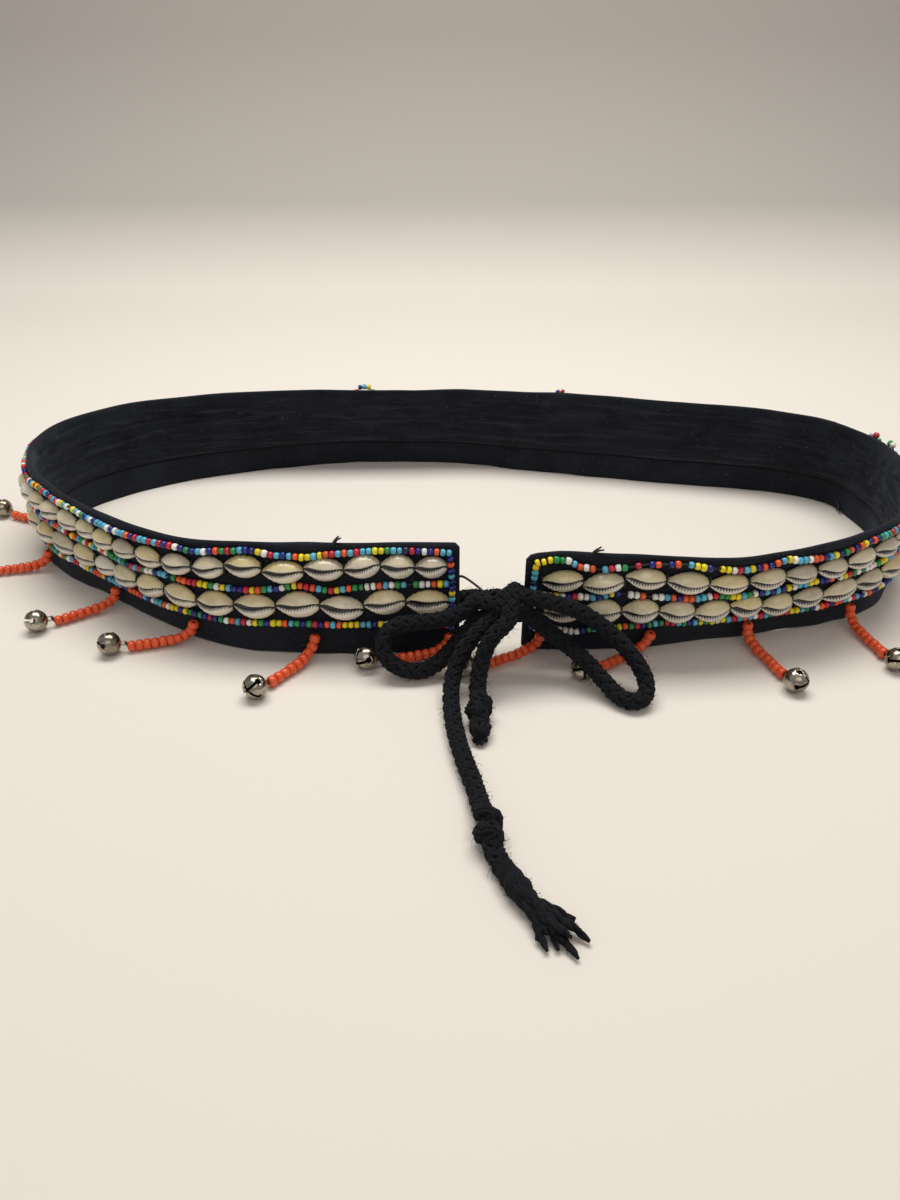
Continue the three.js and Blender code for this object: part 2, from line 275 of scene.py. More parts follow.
# Plain-woven cotton, dyed black: matt, bluish where light grazes it, with a little pale lint; the crests of the
# lining's folds are painted lighter as a painted highlight, and the groove of the turned-in seam is painted
# near-black as painted shade
bandCotton = {
    # the crest colour is a painted highlight on the fold crests; the seam colour is painted shade in the seam's
    # groove
    "black": "#11141a", "worn": "#1e222c", "lint": "#8d8c88", "crestHighlight": "#272a31", "seam": "#030304",
    "sheen": "#7f8796", "roughness": 0.92,
    # in millimetres; the threads are drawn twice as far apart as they are, so that they show
    "thread": 0.9, "weaveDepth": 0.12, "wornPatch": 16.667, "speck": 0.6667, "fuzz": 1.111,
    "foldLength": 38.46, "foldWidth": 3.03, "foldsFrom": (12.5, 14.5), "foldsTo": (47, 43),
    "seamAt": 12.9, "seamWidth": 0.5,
    "foldSlant": 0.09, "foldHeight": 8,  # in radians and in weave depths
}


def makeBandCotton():
    look = bandCotton
    material, tree, place = newMaterial("black_woven_cotton")
    uv = addNode(tree, "UVMap", uv_map="cloth").outputs["UV"]
    turns = math.tau / 20 / (look["thread"] * mm)  # a wave texture draws a band every tau / 20 units
    wave = {"Vector": uv, "Scale": turns, "Distortion": 1.2, "Detail": 1, "Detail Scale": 0.6}
    warp = addNode(tree, "TexWave", wave, bands_direction="X").outputs["Fac"]
    weft = addNode(tree, "TexWave", wave, bands_direction="Y").outputs["Fac"]
    cloth, _ = mottled(tree, place, look["wornPatch"], 5, [(0.35, look["black"]), (0.75, look["worn"])], 0.6)
    lint, _ = mottled(tree, place, look["speck"], 1, [(0.76, grey(0)), (0.8, grey(1))])
    # the lining's folds: drawn out along the band, on the inner layer's part of the strip alone; their crests
    # are raised by the bump and painted lighter as a painted highlight
    drawn = addNode(tree, "Mapping", {
        "Vector": uv, "Rotation": (0, 0, look["foldSlant"]),
        "Scale": (per(look["foldLength"]), per(look["foldWidth"]), 1),
    })
    folds = addNode(tree, "TexNoise", {"Vector": drawn.outputs["Vector"], "Scale": 1, "Detail": 3})
    crests = addNode(tree, "MapRange", {"Value": folds.outputs["Fac"], "From Min": 0.5, "From Max": 0.68})
    crests = crests.outputs["Result"]
    height = addNode(tree, "SeparateXYZ", {"Vector": uv}).outputs["Y"]
    for none, full in (look["foldsFrom"], look["foldsTo"]):
        there = addNode(tree, "MapRange", {"Value": height, "From Min": none * mm, "From Max": full * mm})
        crests = addNode(tree, "Math", {0: crests, 1: there.outputs["Result"]}, operation="MULTIPLY").outputs[0]
    # the seam colour is a near-black line of painted shade in the groove where the edge is turned in
    seam = addNode(tree, "Math", {0: height, 1: look["seamAt"] * mm, 2: look["seamWidth"] * mm},
                   operation="COMPARE").outputs[0]
    # the crests' lighter colour is a painted highlight where the folds catch the light
    colour = layered(tree, cloth, (lint, linear(look["lint"])), (crests, linear(look["crestHighlight"])),
                     (seam, linear(look["seam"])))
    fuzz = addNode(tree, "TexNoise", {"Vector": place, "Scale": per(look["fuzz"]), "Detail": 3})
    folded = addNode(tree, "Math", {0: crests, 1: look["foldHeight"]}, operation="MULTIPLY")
    relief = warp
    for more in (weft, fuzz.outputs["Fac"], folded.outputs[0]):
        relief = addNode(tree, "Math", {0: relief, 1: more}, operation="ADD").outputs[0]
    bump = addNode(tree, "Bump", {"Height": relief, "Strength": 0.5, "Distance": look["weaveDepth"] * mm})
    return closeMaterial(material, {
        "Base Color": colour, "Roughness": look["roughness"], "Normal": bump.outputs["Normal"],
        "Sheen Weight": 0.25, "Sheen Roughness": 0.45, "Sheen Tint": linear(look["sheen"]),
        "Specular IOR Level": 0.25,
    })


# Cotton yarn, spun loosely and braided: matt black, hairy, with browner worn fibres
cordCotton = {
    "black": "#121317", "worn": "#1a1b20", "fibre": "#484642", "sheen": "#6c6f74", "roughness": 0.95,
    "wornPatch": 4.545, "fuzz": 0.7143, "fuzzDepth": 0.3,  # in millimetres
}


def makeCordCotton():
    look = cordCotton
    material, tree, place = newMaterial("braided_cotton_yarn")
    yarn, _ = mottled(tree, place, look["wornPatch"], 6, [(0.35, look["black"]), (0.7, look["worn"])], 0.7)
    pale, fibres = mottled(tree, place, look["fuzz"], 2, [(0.72, grey(0)), (0.8, grey(0.6))])
    bump = addNode(tree, "Bump", {"Height": fibres, "Strength": 0.6, "Distance": look["fuzzDepth"] * mm})
    return closeMaterial(material, {
        "Base Color": layered(tree, yarn, (pale, linear(look["fibre"]))), "Roughness": look["roughness"],
        "Normal": bump.outputs["Normal"], "Sheen Weight": 0.06, "Sheen Roughness": 0.6,
        "Sheen Tint": linear(look["sheen"]), "Specular IOR Level": 0.2,
    })


# Cowrie shell: porcelain-like natural glaze, cream to grey on the body and whiter on the toothed lips; the
# slit, the gaps between the teeth and the tips are painted dark as painted shade
cowrieShell = {
    "tones": [(0.0, "#bdb19c"), (0.22, "#d2c7ac"), (0.48, "#d9cda4"), (0.72, "#d9c58a"), (0.85, "#e0d8c8"),
              (1.0, "#e6e1da")],
    # the slit colour is painted shade for the slit, the gaps between the teeth and the tips
    "lip": "#eae4d8", "slitShade": "#140d09", "stain": "#93805c", "roughness": 0.22,
    "stainPatch": 5.882, "ripple": 2.381, "rippleDepth": 0.2,  # in millimetres
}


def makeCowrieShell():
    look = cowrieShell
    material, tree, place = newMaterial("cowrie_shell")
    tone, lobe, slitShade = (addNode(tree, "Attribute", attribute_name=name).outputs["Fac"]
                        for name in ("tone", "lobe", "slitShade"))
    body = addNode(tree, "ValToRGB", {"Fac": tone}, look["tones"]).outputs["Color"]
    stain, _ = mottled(tree, place, look["stainPatch"], 3, [(0.5, grey(0)), (0.85, grey(0.45))])
    # the slit share is painted shade, laid over the shell's own colours
    colour = layered(tree, linear(look["lip"]), (lobe, body), (stain, linear(look["stain"])),
                     (slitShade, linear(look["slitShade"])))
    ripple = addNode(tree, "TexNoise", {"Vector": place, "Scale": per(look["ripple"]), "Detail": 2})
    bump = addNode(tree, "Bump", {
        "Height": ripple.outputs["Fac"], "Strength": 0.15, "Distance": look["rippleDepth"] * mm,
    })
    return closeMaterial(material, {
        "Base Color": colour, "Roughness": look["roughness"], "Normal": bump.outputs["Normal"],
        "IOR": 1.53, "Coat Weight": 0.25, "Coat Roughness": 0.12,
    })


# Opaque pressed glass, fire-polished: a plain colour with a small bright highlight
glassLooks = {
    "opaque_seed_bead_glass": {"roughness": 0.16, "colours": None},  # each bead has a colour of its own
    "opaque_coral_bead_glass": {"roughness": 0.22, "colours": [(0.35, "#da4c1f"), (0.65, "#e65d2f")]},
}
glassFlaws = {"streak": 3.333, "cloud": 1.4286, "smoother": 0.05, "rougher": 0.12}  # the first two in mm


def makeGlass(name):
    look = glassLooks[name]
    material, tree, place = newMaterial(name)
    if look["colours"]:
        colour, _ = mottled(tree, place, glassFlaws["streak"], 2, look["colours"])
    else:
        colour = addNode(tree, "Attribute", attribute_name="glass").outputs["Color"]
    cloud = addNode(tree, "TexNoise", {"Vector": place, "Scale": per(glassFlaws["cloud"]), "Detail": 2})
    gloss = addNode(tree, "MapRange", {
        "Value": cloud.outputs["Fac"], "To Min": look["roughness"] - glassFlaws["smoother"],
        "To Max": look["roughness"] + glassFlaws["rougher"],
    })
    return closeMaterial(material, {"Base Color": colour, "Roughness": gloss.outputs["Result"], "IOR": 1.52})


# Pressed brass, nickel plated: bright grey with yellowish worn spots, which are darkened also as a painted dark
# reflection
bellMetal = {
    "plate": "#aea699", "worn": "#776a51", "smooth": 0.11, "rough": 0.33,
    "wornPatch": 3.846, "dentDepth": 0.3,  # in millimetres
}


def makeBellMetal():
    look = bellMetal
    material, tree, place = newMaterial("nickel_plated_brass")
    # the darker patches are real wear and also a painted dark reflection
    colour, wearAndDarkReflection = mottled(tree, place, look["wornPatch"], 5, [(0.42, look["plate"]), (0.72, look["worn"])])
    polish = addNode(tree, "MapRange", {"Value": wearAndDarkReflection, "To Min": look["smooth"], "To Max": look["rough"]})
    dents = addNode(tree, "Bump", {"Height": wearAndDarkReflection, "Strength": 0.3, "Distance": look["dentDepth"] * mm})
    return closeMaterial(material, {
        "Base Color": colour, "Metallic": 1, "Roughness": polish.outputs["Result"],
        "Normal": dents.outputs["Normal"],
    })


# Waxed polyester thread: black with a narrow sheen
threadWax = {"stops": [(0.4, "#0b0c0e"), (0.7, "#26272a")], "patch": 0.625, "detail": 1, "roughness": 0.5}
# Inside the bells and on their pellets: painted shade, dark brown and dull, so that the slots show dark
bellInsideShadeLook = {"stops": [(0.4, "#0d0a07"), (0.7, "#221b12")], "patch": 2, "detail": 2, "roughness": 0.8}


def makeMottled(name, look):
    material, tree, place = newMaterial(name)
    colour, _ = mottled(tree, place, look["patch"], look["detail"], look["stops"])
    return closeMaterial(material, {"Base Color": colour, "Roughness": look["roughness"]})


blackCloth = makeBandCotton()
blackYarn = makeCordCotton()
shellGlaze = makeCowrieShell()
beadGlass = makeGlass("opaque_seed_bead_glass")
coralGlass = makeGlass("opaque_coral_bead_glass")
nickel = makeBellMetal()
blackThread = makeMottled("waxed_black_thread", threadWax)
bellInsideShade = makeMottled("bell_inside_painted_shade", bellInsideShadeLook)
print("materials made")


# The two braided cords. Routes are in millimetres from the CAD routes' own origin.

endKnotLow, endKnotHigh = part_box("end_knot_short")
routeShift = (endKnotLow + endKnotHigh) / (2 * mm) - Vector((7, -151.2, 6.1))

stubLeft = [
    (-11, -96.4, 21.6), (-4.5, -96.2, 21.8), (1.4, -96.6, 22.4), (5.8, -100.2, 25), (10.6, -107.2, 28.4),
]
loopRight = [
    (28.2, -118.1, 35), (31.4, -119.6, 35), (37.4, -120.4, 33.8), (44.5, -121, 31.6), (51.6, -122, 28.3),
    (57.8, -123.5, 24.1), (63.1, -126, 20), (67.3, -129, 16.2), (70.4, -132, 13), (72.6, -135.4, 9.7),
    (73.4, -139.4, 6.8), (72, -143.2, 4.8), (68.2, -145.4, 4), (64, -143.6, 3.9), (60.6, -140, 4.8),
    (57, -135.8, 7.2), (53.2, -132.2, 10.2), (49.3, -128.8, 13), (45.3, -125, 14.8), (40.9, -122.4, 17.4),
    (36, -120.8, 20.6), (31.4, -119.6, 24.4), (28.4, -118.8, 27),
]
tailLong = [
    (12.7, -120.8, 26.6), (9, -123.4, 24.2), (5.2, -125.6, 21.2), (1.7, -128.4, 17), (-1.4, -131.6, 11.9),
    (-3.2, -137, 7.4), (-3.6, -144, 4.5), (-3.2, -152, 3.8), (-1.6, -166, 3.8), (1.1, -180, 3.8),
    (4, -192, 3.9), (6.2, -203.8, 4.6),
]
tailLongEnd = [(9.8, -224.8, 4.6), (11.8, -229.6, 3.9), (14.4, -235, 3.8), (16.8, -240, 3.8)]
stubRight = [(40, -99, 24.2), (31, -98.2, 24.4), (24, -98.6, 25), (20.8, -102, 26.8), (20.2, -105.6, 29.4)]
loopLeft = [
    (6.6, -113.8, 31), (3.2, -115.4, 28.2), (-2.7, -116, 24.9), (-9.9, -116, 23), (-17, -116, 22.2),
    (-25, -116.6, 21), (-29.6, -118.2, 18.6), (-31.2, -120.8, 14.8), (-30.2, -123.4, 10.4), (-26, -125, 6.8),
    (-19.7, -125.8, 4.9), (-13.5, -124.8, 5), (-8.1, -122.5, 7.6), (-3.1, -119.8, 12.1), (1.4, -118, 17.2),
    (4.8, -116.6, 20.8), (7.6, -115.6, 23.4),
]
tailShort = [
    (19, -126.4, 29.2), (16.2, -129, 27.6), (13.2, -130.6, 25), (10.8, -132, 21.6), (9, -134, 17.4),
    (7.6, -136.8, 12.8), (6.9, -140.2, 8.8), (6.9, -143.4, 6.4),
]
bowKnot = {
    "underCrown": [(14.5, -109.8, 30.6), (20.4, -113.4, 31.8)],
    "throughBack": [(23.5, -118.4, 27.6), (17.8, -119.4, 27.8)],
    "wrap": [(25.2, -108.6, 31.5), (27.6, -113.6, 31.4), (24.4, -118.6, 31.2), (18.4, -120.2, 31.6),
             (12, -117.6, 32)],
    "crown": [(13, -114.6, 24.6), (18.8, -111.6, 25), (22.6, -108.6, 28), (23, -109, 32.6),
              (21.6, -112.8, 35.2), (20.4, -117.6, 34.8), (19.9, -121.4, 32.8), (19.6, -124.2, 30.6)],
}


def overhand(place, way, radius, length, turns):
    # the corkscrew that a tight overhand knot shows, round a way over the floor
    place, way = Vector(place), Vector(way).normalized()
    side = way.cross(upright)
    points = []
    count = round(turns * 7)
    for i in range(count + 1):
        share = i / count
        swell = around(side, upright, math.tau * turns * share) * radius * math.sin(math.pi * share) ** 0.5
        points.append(place + way * length * (share - 0.5) + swell)
    return points


endKnots = {
    "long": {"place": (8.3, -216.2, 6.4), "way": (0.2, -1, 0), "radius": 2.5, "length": 12.5, "turns": 1.5},
    "short": {"place": (7, -152.4, 6.4), "way": (0, -1, 0), "radius": 2.5, "length": 9, "turns": 1.4},
}
leftRoute = (stubLeft + bowKnot["underCrown"] + loopRight + bowKnot["throughBack"] + tailLong
             + overhand(**endKnots["long"]) + tailLongEnd)
rightRoute = (stubRight + bowKnot["wrap"] + loopLeft + bowKnot["crown"] + tailShort
              + overhand(**endKnots["short"]) + [(7.2, -159, 5), (7.2, -161.4, 4.2)])

cord = {
    "diameter": 7.2, "carriers": 4,  # strands that turn each way
    "plies": (-0.26, 0.26),  # each yarn's angle from its strand's middle
    "pitch": 21, "radius": 2.45, "lift": 0.42, "yarn": 0.78, "core": 2.45, "step": 0.95, "unevenness": 0.16,
    "fibres": 2.2,  # per millimetre
    "fibreLength": (1.2, 3.4), "fibre": 0.05, "fibreRoot": 0.5, "floorGap": 0.1,
}


def braidedCord(name, route, seed):
    rng = random.Random(seed)
    line = evenly(smoothLine([Vector(p) + routeShift for p in route], 8), cord["step"])
    frames = carried(line)
    run = travel(line)
    curve = newTube(name, cord["yarn"])
    crossing = cord["pitch"] / (2 * cord["carriers"])
    for turn in (1, -1):
        for carrier in range(cord["carriers"]):
            for ply in cord["plies"]:
                start = math.tau * carrier / cord["carriers"] + ply
                points = []
                for (here, side, up), far in zip(frames, run):
                    out = cord["radius"] + turn * cord["lift"] * math.cos(math.pi * far / crossing)
                    out += rng.uniform(-1, 1) * cord["unevenness"]
                    points.append(here + around(side, up, start + turn * math.tau * far / cord["pitch"]) * out)
                addLine(curve, points)
    addLine(curve, line, [cord["core"] / cord["yarn"]] * len(line))
    for _ in range(round(run[-1] * cord["fibres"])):  # loose cotton fibres
        here, side, up = rng.choice(frames)
        out = around(side, up, rng.uniform(0, math.tau))
        drift = side.cross(up) * rng.uniform(-1, 1) + out.cross(side.cross(up)) * rng.uniform(-1, 1)
        reach = rng.uniform(*cord["fibreLength"])
        root = here + out * (cord["radius"] + cord["fibreRoot"])
        bend = root + out * reach * 0.5 + drift * reach * 0.2
        tip = bend + out * reach * rng.uniform(-0.1, 0.4) + drift * reach * 0.6
        if min(root.z, bend.z, tip.z) > cord["floorGap"]:
            addLine(curve, [root, bend, tip], [cord["fibre"] / cord["yarn"]] * 3)
    piece = asMesh(name, curve, blackYarn)
    return piece, [tuple(p * mm) for p in line], run[-1] * mm


fray = {
    "yarn": 0.92, "pair": 0.55, "turn": 10, "unevenness": 0.12,
    "taperFrom": 0.82, "tip": 0.62,  # shares of a yarn's length and of its thickness
    "back": 8, "on": 4, "spread": 2.6, "sway": 0.07, "step": 0.8,  # how the yarns leave the knot
    "fibres": 14, "fibreLength": (1.2, 3), "fibre": (0.06, 0.05),  # its ends' shares of a yarn's thickness
}


def looseYarns(name, start, way, tips, seed):
    # the cord's own strands past its last knot, each a twisted pair of yarns
    rng = random.Random(seed)
    start, way = Vector(start) + routeShift, Vector(way).normalized()
    side = way.cross(upright)
    curve = newTube(name, fray["yarn"])
    for i, tip in enumerate(tips):
        tip = Vector(tip) + routeShift
        angle = math.tau * i / len(tips) + 0.4
        root = start - way * fray["back"] + around(side, upright, angle) * fray["spread"] * 0.8
        leave = start + way * fray["on"] + around(side, upright * 0.7, angle) * fray["spread"]
        sway = rng.uniform(-fray["sway"], fray["sway"]) * (tip - leave).length
        middle = leave.lerp(tip, 0.55) + side * sway + upright * 0.5
        line = evenly(smoothLine([root, leave, middle, tip], 10), fray["step"])
        frames = carried(line)
        run = travel(line)
        for half in (0, math.pi):
            points, thick = [], []
            for (here, across, up), far in zip(frames, run):
                share = far / run[-1]
                taper = 1 - (1 - fray["tip"]) * max(0, share - fray["taperFrom"]) / (1 - fray["taperFrom"])
                twist = half + math.tau * far / fray["turn"]
                point = here + around(across, up, twist) * fray["pair"] * taper
                point.z = max(point.z, fray["yarn"] * taper + cord["floorGap"])
                points.append(point)
                thick.append(taper * rng.uniform(1 - fray["unevenness"], 1 + fray["unevenness"]))
            addLine(curve, points, thick)
        for _ in range(fray["fibres"]):
            here, across, up = rng.choice(frames)
            out = (across * rng.uniform(-1, 1) + up * rng.uniform(0, 1)).normalized()
            drift = across.cross(up) * rng.uniform(-1, 1)
            reach = rng.uniform(*fray["fibreLength"])
            tip = here + out * reach + drift * reach * 0.5
            if tip.z > cord["floorGap"] and here.z > 1:
                addLine(curve, [here + out * 0.8, tip], fray["fibre"])
    return asMesh(name, curve, blackYarn)


cordLeft, leftPath, leftLength = braidedCord("cord_left", leftRoute, 11)
cordRight, rightPath, rightLength = braidedCord("cord_right", rightRoute, 12)
frayLong = looseYarns("fray_long_yarns", (16.2, -238.6, 4.2), (0.46, -0.88, 0), [
    (36.2, -257.4, 1.6), (32.8, -249.8, 1.6), (33.8, -255.2, 3.4), (30.6, -258.4, 4.4), (26.2, -256.8, 4.4),
    (21.4, -257.2, 1.6), (23.6, -260.6, 1.6), (26.8, -260.2, 1.6), (32.2, -263.2, 1.6), (30.2, -260.6, 1.6),
    (28.4, -257.4, 5.8), (24, -256.4, 3.6), (31, -255.8, 5), (28.4, -258.8, 3),
], 21)
frayShort = looseYarns("fray_short_yarns", (7.2, -160.6, 4.2), (0, -1, 0), [
    (9.8, -167, 1.8), (9, -166.4, 4.2), (7.6, -166.8, 5.4), (6, -166.2, 5.2), (4.8, -166.8, 3.6),
    (4.6, -167.4, 1.8), (6, -168.6, 1.6), (8, -168.8, 1.7), (7, -167.6, 3.4),
], 22)
for piece in (cordLeft, cordRight, frayLong, frayShort):
    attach(piece, "root")
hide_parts("cord_stub_left", "bow_loop_right", "tail_long", "tail_long_end", "end_knot_long",
            "bow_knot")
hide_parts("cord_stub_right", "bow_loop_left", "tail_short", "end_knot_short")
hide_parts("fray_long")
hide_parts("fray_short")
print(f"cords braided: {leftLength:.3f} m and {rightLength:.3f} m")


# The loop that the band stands in: shares of half its width and depth, and its lean, as the CAD has them

loop = {"width": 436, "depth": 214, "height": 50, "cloth": 2.4, "normalReach": 4, "stations": 2000}
loopShares = [
    (0.0, -0.95, 0.12), (-0.24, -0.957, 0.12), (-0.405, -0.94, 0.08), (-0.51, -0.885, -0.02),
    (-0.63, -0.75, -0.13), (-0.765, -0.535, -0.11), (-0.88, -0.335, -0.02), (-0.96, -0.115, 0.0),
    (-0.992, 0.14, -0.06), (-0.965, 0.42, -0.16), (-0.865, 0.66, -0.22), (-0.74, 0.805, -0.14),
    (-0.55, 0.92, 0.02), (-0.325, 0.985, 0.22), (-0.125, 1.0, 0.24), (0.02, 0.995, 0.14),
    (0.17, 0.935, 0.02), (0.39, 0.83, -0.02), (0.635, 0.71, 0.0), (0.83, 0.605, 0.08),
    (0.945, 0.455, 0.16), (0.995, 0.23, 0.06), (1.0, -0.05, 0.0), (0.965, -0.36, -0.03),
    (0.88, -0.635, -0.08), (0.755, -0.805, -0.22), (0.62, -0.9, -0.32), (0.47, -0.965, -0.3),
    (0.33, -0.985, -0.17), (0.205, -0.975, -0.1), (0.122, -0.975, -0.14),
]
loopLine = smoothLine([(x * loop["width"] / 2, y * loop["depth"] / 2, lean * loop["height"])
                       for x, y, lean in loopShares], 30)
loopFlat = [Vector((p.x, p.y, 0)) for p in loopLine]
loopRun = travel(loopFlat)
bandLength = loopRun[-1]


def loopAt(along):
    # a place on the loop, with the lean as its third number
    along = min(max(along, 0), bandLength)
    low, high = 0, len(loopRun) - 1
    while high - low > 1:
        middle = (low + high) // 2
        low, high = (middle, high) if loopRun[middle] < along else (low, middle)
    return loopLine[low].lerp(loopLine[high], (along - loopRun[low]) / (loopRun[high] - loopRun[low]))


def bandFrame(along):
    # the loop's place there, its lean and the way out
    here = loopAt(along)
    reach = loop["normalReach"]
    on = loopAt(along + reach) - loopAt(along - reach)
    on = Vector((on.x, on.y, 0)).normalized()
    place = Vector((here.x, here.y, 0)) + Vector((routeShift.x, routeShift.y, 0))
    return place, here.z, Vector((-on.y, on.x, 0))


bandStations = [bandFrame(i * bandLength / loop["stations"]) for i in range(loop["stations"] + 1)]


def onBand(along, up, out):
    # millimetres along the band, up from its lower edge and out from its middle layer
    share = min(max(along / bandLength, 0), 1) * loop["stations"]
    i = min(int(share), loop["stations"] - 1)
    a, b = bandStations[i], bandStations[i + 1]
    t = share - i
    place, lean, way = a[0].lerp(b[0], t), a[1] + (b[1] - a[1]) * t, a[2].lerp(b[2], t)
    point = place + way * (out + lean * (0.5 - up / loop["height"]))
    return Vector((point.x, point.y, up))


def wayOn(along, up, reach):
    # the way along the band there
    return (onBand(along + reach, up, 0) - onBand(along - reach, up, 0)).normalized()


print(f"band is {bandLength:.0f} mm long")


# The cloth band: one strip folded lengthwise, its edges turned in

cloth = {
    "across": 1.7, "rowStep": 1.25,  # mm between columns and between rows
    "creaseFrom": 16, "creaseTo": 49, "creaseFade": 5, "creaseDepth": 1.5,
    "seamAt": 14.5, "seamDepth": 0.9, "seamWidth": 1.2,
    "wave": 0.9, "faceWave": 0.35, "lipWave": 1.0, "lipTo": 6, "lipFade": 9, "hem": 3.4, "hemSwell": 0.5,
    "pinch": 2.2, "corner": 1.8,  # how far from its ends the band gets thinner and rounder
    # how far the edges rise or dip near the right end, in millimetres from that end
    "topRise": [(0, -1.4), (6, -0.4), (14, 0.1), (40, 0), (60, -0.4), (84, -1.7), (104, -0.8), (125, 0)],
    "lipRise": [(0, 0), (66, 0), (84, 0.5), (100, 0.1), (112, 0), (125, 0.4), (140, 0)],
}


def creaseAt(along, up):
    # folds in the lining: long, nearly level and slanting down to the right
    low = rough(along * 0.022, (up + along * 0.09) * 0.2, 3.7)
    fine = rough(along * 0.045, (up + along * 0.13) * 0.42, 9.1)
    ridges = max(0, 1 - abs(low) * 4.5) ** 2 + 0.5 * max(0, 1 - abs(fine) * 4) ** 2
    for inside in (up - cloth["creaseFrom"], cloth["creaseTo"] - up):
        ridges *= min(max(inside / cloth["creaseFade"], 0), 1)
    return ridges


def clothSection():
    # the folded strip's section: up the lining, over the top, down the face and round the lower edge
    half = loop["cloth"] / 2
    tall = loop["height"]
    rows = round((tall - 4) / cloth["rowStep"])
    inner = [(1.6 + (tall - 4) * i / rows, -1) for i in range(rows + 1)]
    top = [(tall - half + math.sin(a) * half, -math.cos(a)) for a in (0.4, 1.1, math.pi / 2, 2.04, 2.74)]
    heights = (47.6, 45.5, 43, 40, 36, 32, 28, 24, 20, 16, 13.5, 11.5, 9.5, 7.5, 5.5, 3.5, 1.8)
    outer = [(up, 1) for up in heights]
    foot = [(0.5, 0.85), (0.0, 0.35), (0.0, -0.35), (0.5, -0.85)]
    return inner + top + outer + foot


def clothBand():
    section, height = clothSection(), loop["height"]
    count = round(bandLength / cloth["across"])
    bm = bmesh.new()
    bmesh.ops.create_grid(bm, x_segments=count, y_segments=len(section), size=0.5)
    fold = bm.loops.layers.uv.new("cloth")
    bm.verts.ensure_lookup_table()
    places = {}
    for vert in bm.verts:
        column = round((vert.co.x + 0.5) * count)
        row = round((vert.co.y + 0.5) * len(section))
        along = bandLength * column / count
        up, out = section[row % len(section)]
        fromRight = bandLength - along
        end = min(along, fromRight)
        pinch = min(1, (end + 0.6) / cloth["pinch"]) ** 0.5  # both layers meet at the ends
        corner = max(0, cloth["corner"] - end)
        swing = rough(along * 0.03, 0, 5.5) * cloth["wave"]
        ripple = rough(along * 0.05, up * 0.05, 1.2) * cloth["wave"] * 0.8
        lift = corner + (up / height) * (height - 2 * corner) + swing * (up / height)
        lift += max(0, rough(along * 0.05, 0, 8.8)) * cloth["lipWave"] * max(0, 1 - up / cloth["lipTo"])
        lift += readTable(cloth["topRise"], fromRight) * (up / height) ** 2
        lift += readTable(cloth["lipRise"], fromRight) * max(0, 1 - up / cloth["lipFade"]) ** 1.5
        side = out * loop["cloth"] / 2 * pinch
        if out < 0:
            side -= cloth["creaseDepth"] * creaseAt(along, up) * pinch
            side += cloth["seamDepth"] * math.exp(-((up - cloth["seamAt"]) / cloth["seamWidth"]) ** 2) * pinch
        elif up < height - cloth["hem"]:
            side += rough(along * 0.11, up * 0.16, 4.4) * cloth["faceWave"]
        else:
            side += cloth["hemSwell"] * math.sin(math.pi * (height - up) / cloth["hem"]) * out
        vert.co = onBand(along, lift, side + ripple) * mm
        places[vert.index] = (along * mm, row * cloth["rowStep"] * mm)
    for face in bm.faces:
        for corner in face.loops:
            corner[fold].uv = places[corner.vert.index]
    bmesh.ops.remove_doubles(bm, verts=bm.verts, dist=0.01 * mm)
    ends = [edge for edge in bm.edges if edge.is_boundary]
    bmesh.ops.holes_fill(bm, edges=ends, sides=0)
    bmesh.ops.recalc_face_normals(bm, faces=bm.faces)
    return fromBmesh("cloth_band_folded", bm, blackCloth)


band = clothBand()
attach(band, "root")
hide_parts("cloth_band")
print("band folded")


# Cowries: the underside shows, with its toothed slit

cowrie = {
    "rings": 30, "stations": 18, "height": 5.6, "gap": 0.72, "depth": 2.0, "tooth": 0.4,
    "upperWidth": 10.2, "lowerWidth": 12.0, "variants": 4, "overlap": 1.03,
    "spread": 4.5, "widths": (0.9, 1.06), "heights": (0.9, 1.08), "tone": (0.45, 0.28),  # each shell's own
    # how many degrees the shells lean over on the left bend, by millimetres along the band
    "lean": [(0, 0), (125, 0), (165, -8), (275, -9), (330, 0)], "leanNarrows": 0.01,
}
# by shares of a shell's length from its pointed tip: its width, and its slit's place and half width
outline = [(0, 0.1), (0.04, 0.24), (0.1, 0.42), (0.2, 0.66), (0.32, 0.87), (0.44, 0.98), (0.54, 1.0),
           (0.67, 0.96), (0.8, 0.82), (0.9, 0.6), (0.96, 0.4), (1, 0.12)]
slitLine = [(0, 0.1), (0.12, 0.12), (0.3, 0.06), (0.5, 0.06), (0.7, 0.14), (0.88, 0.26), (1, 0.3)]
slitGap = [(0, 1.2), (0.12, 1.8), (0.28, 2.1), (0.45, 1.7), (0.7, 1.2), (0.9, 0.9), (1, 0.8)]
# where the lower lobe's stations 0 to 5 and the upper lobe's 8 to 15 lie, from the edge to the lip and back
lowerShares = (0.0, 0.14, 0.38, 0.66, 0.86, 1.0)
upperShares = (1.0, 0.94, 0.82, 0.64, 0.44, 0.24, 0.09, 0.0)


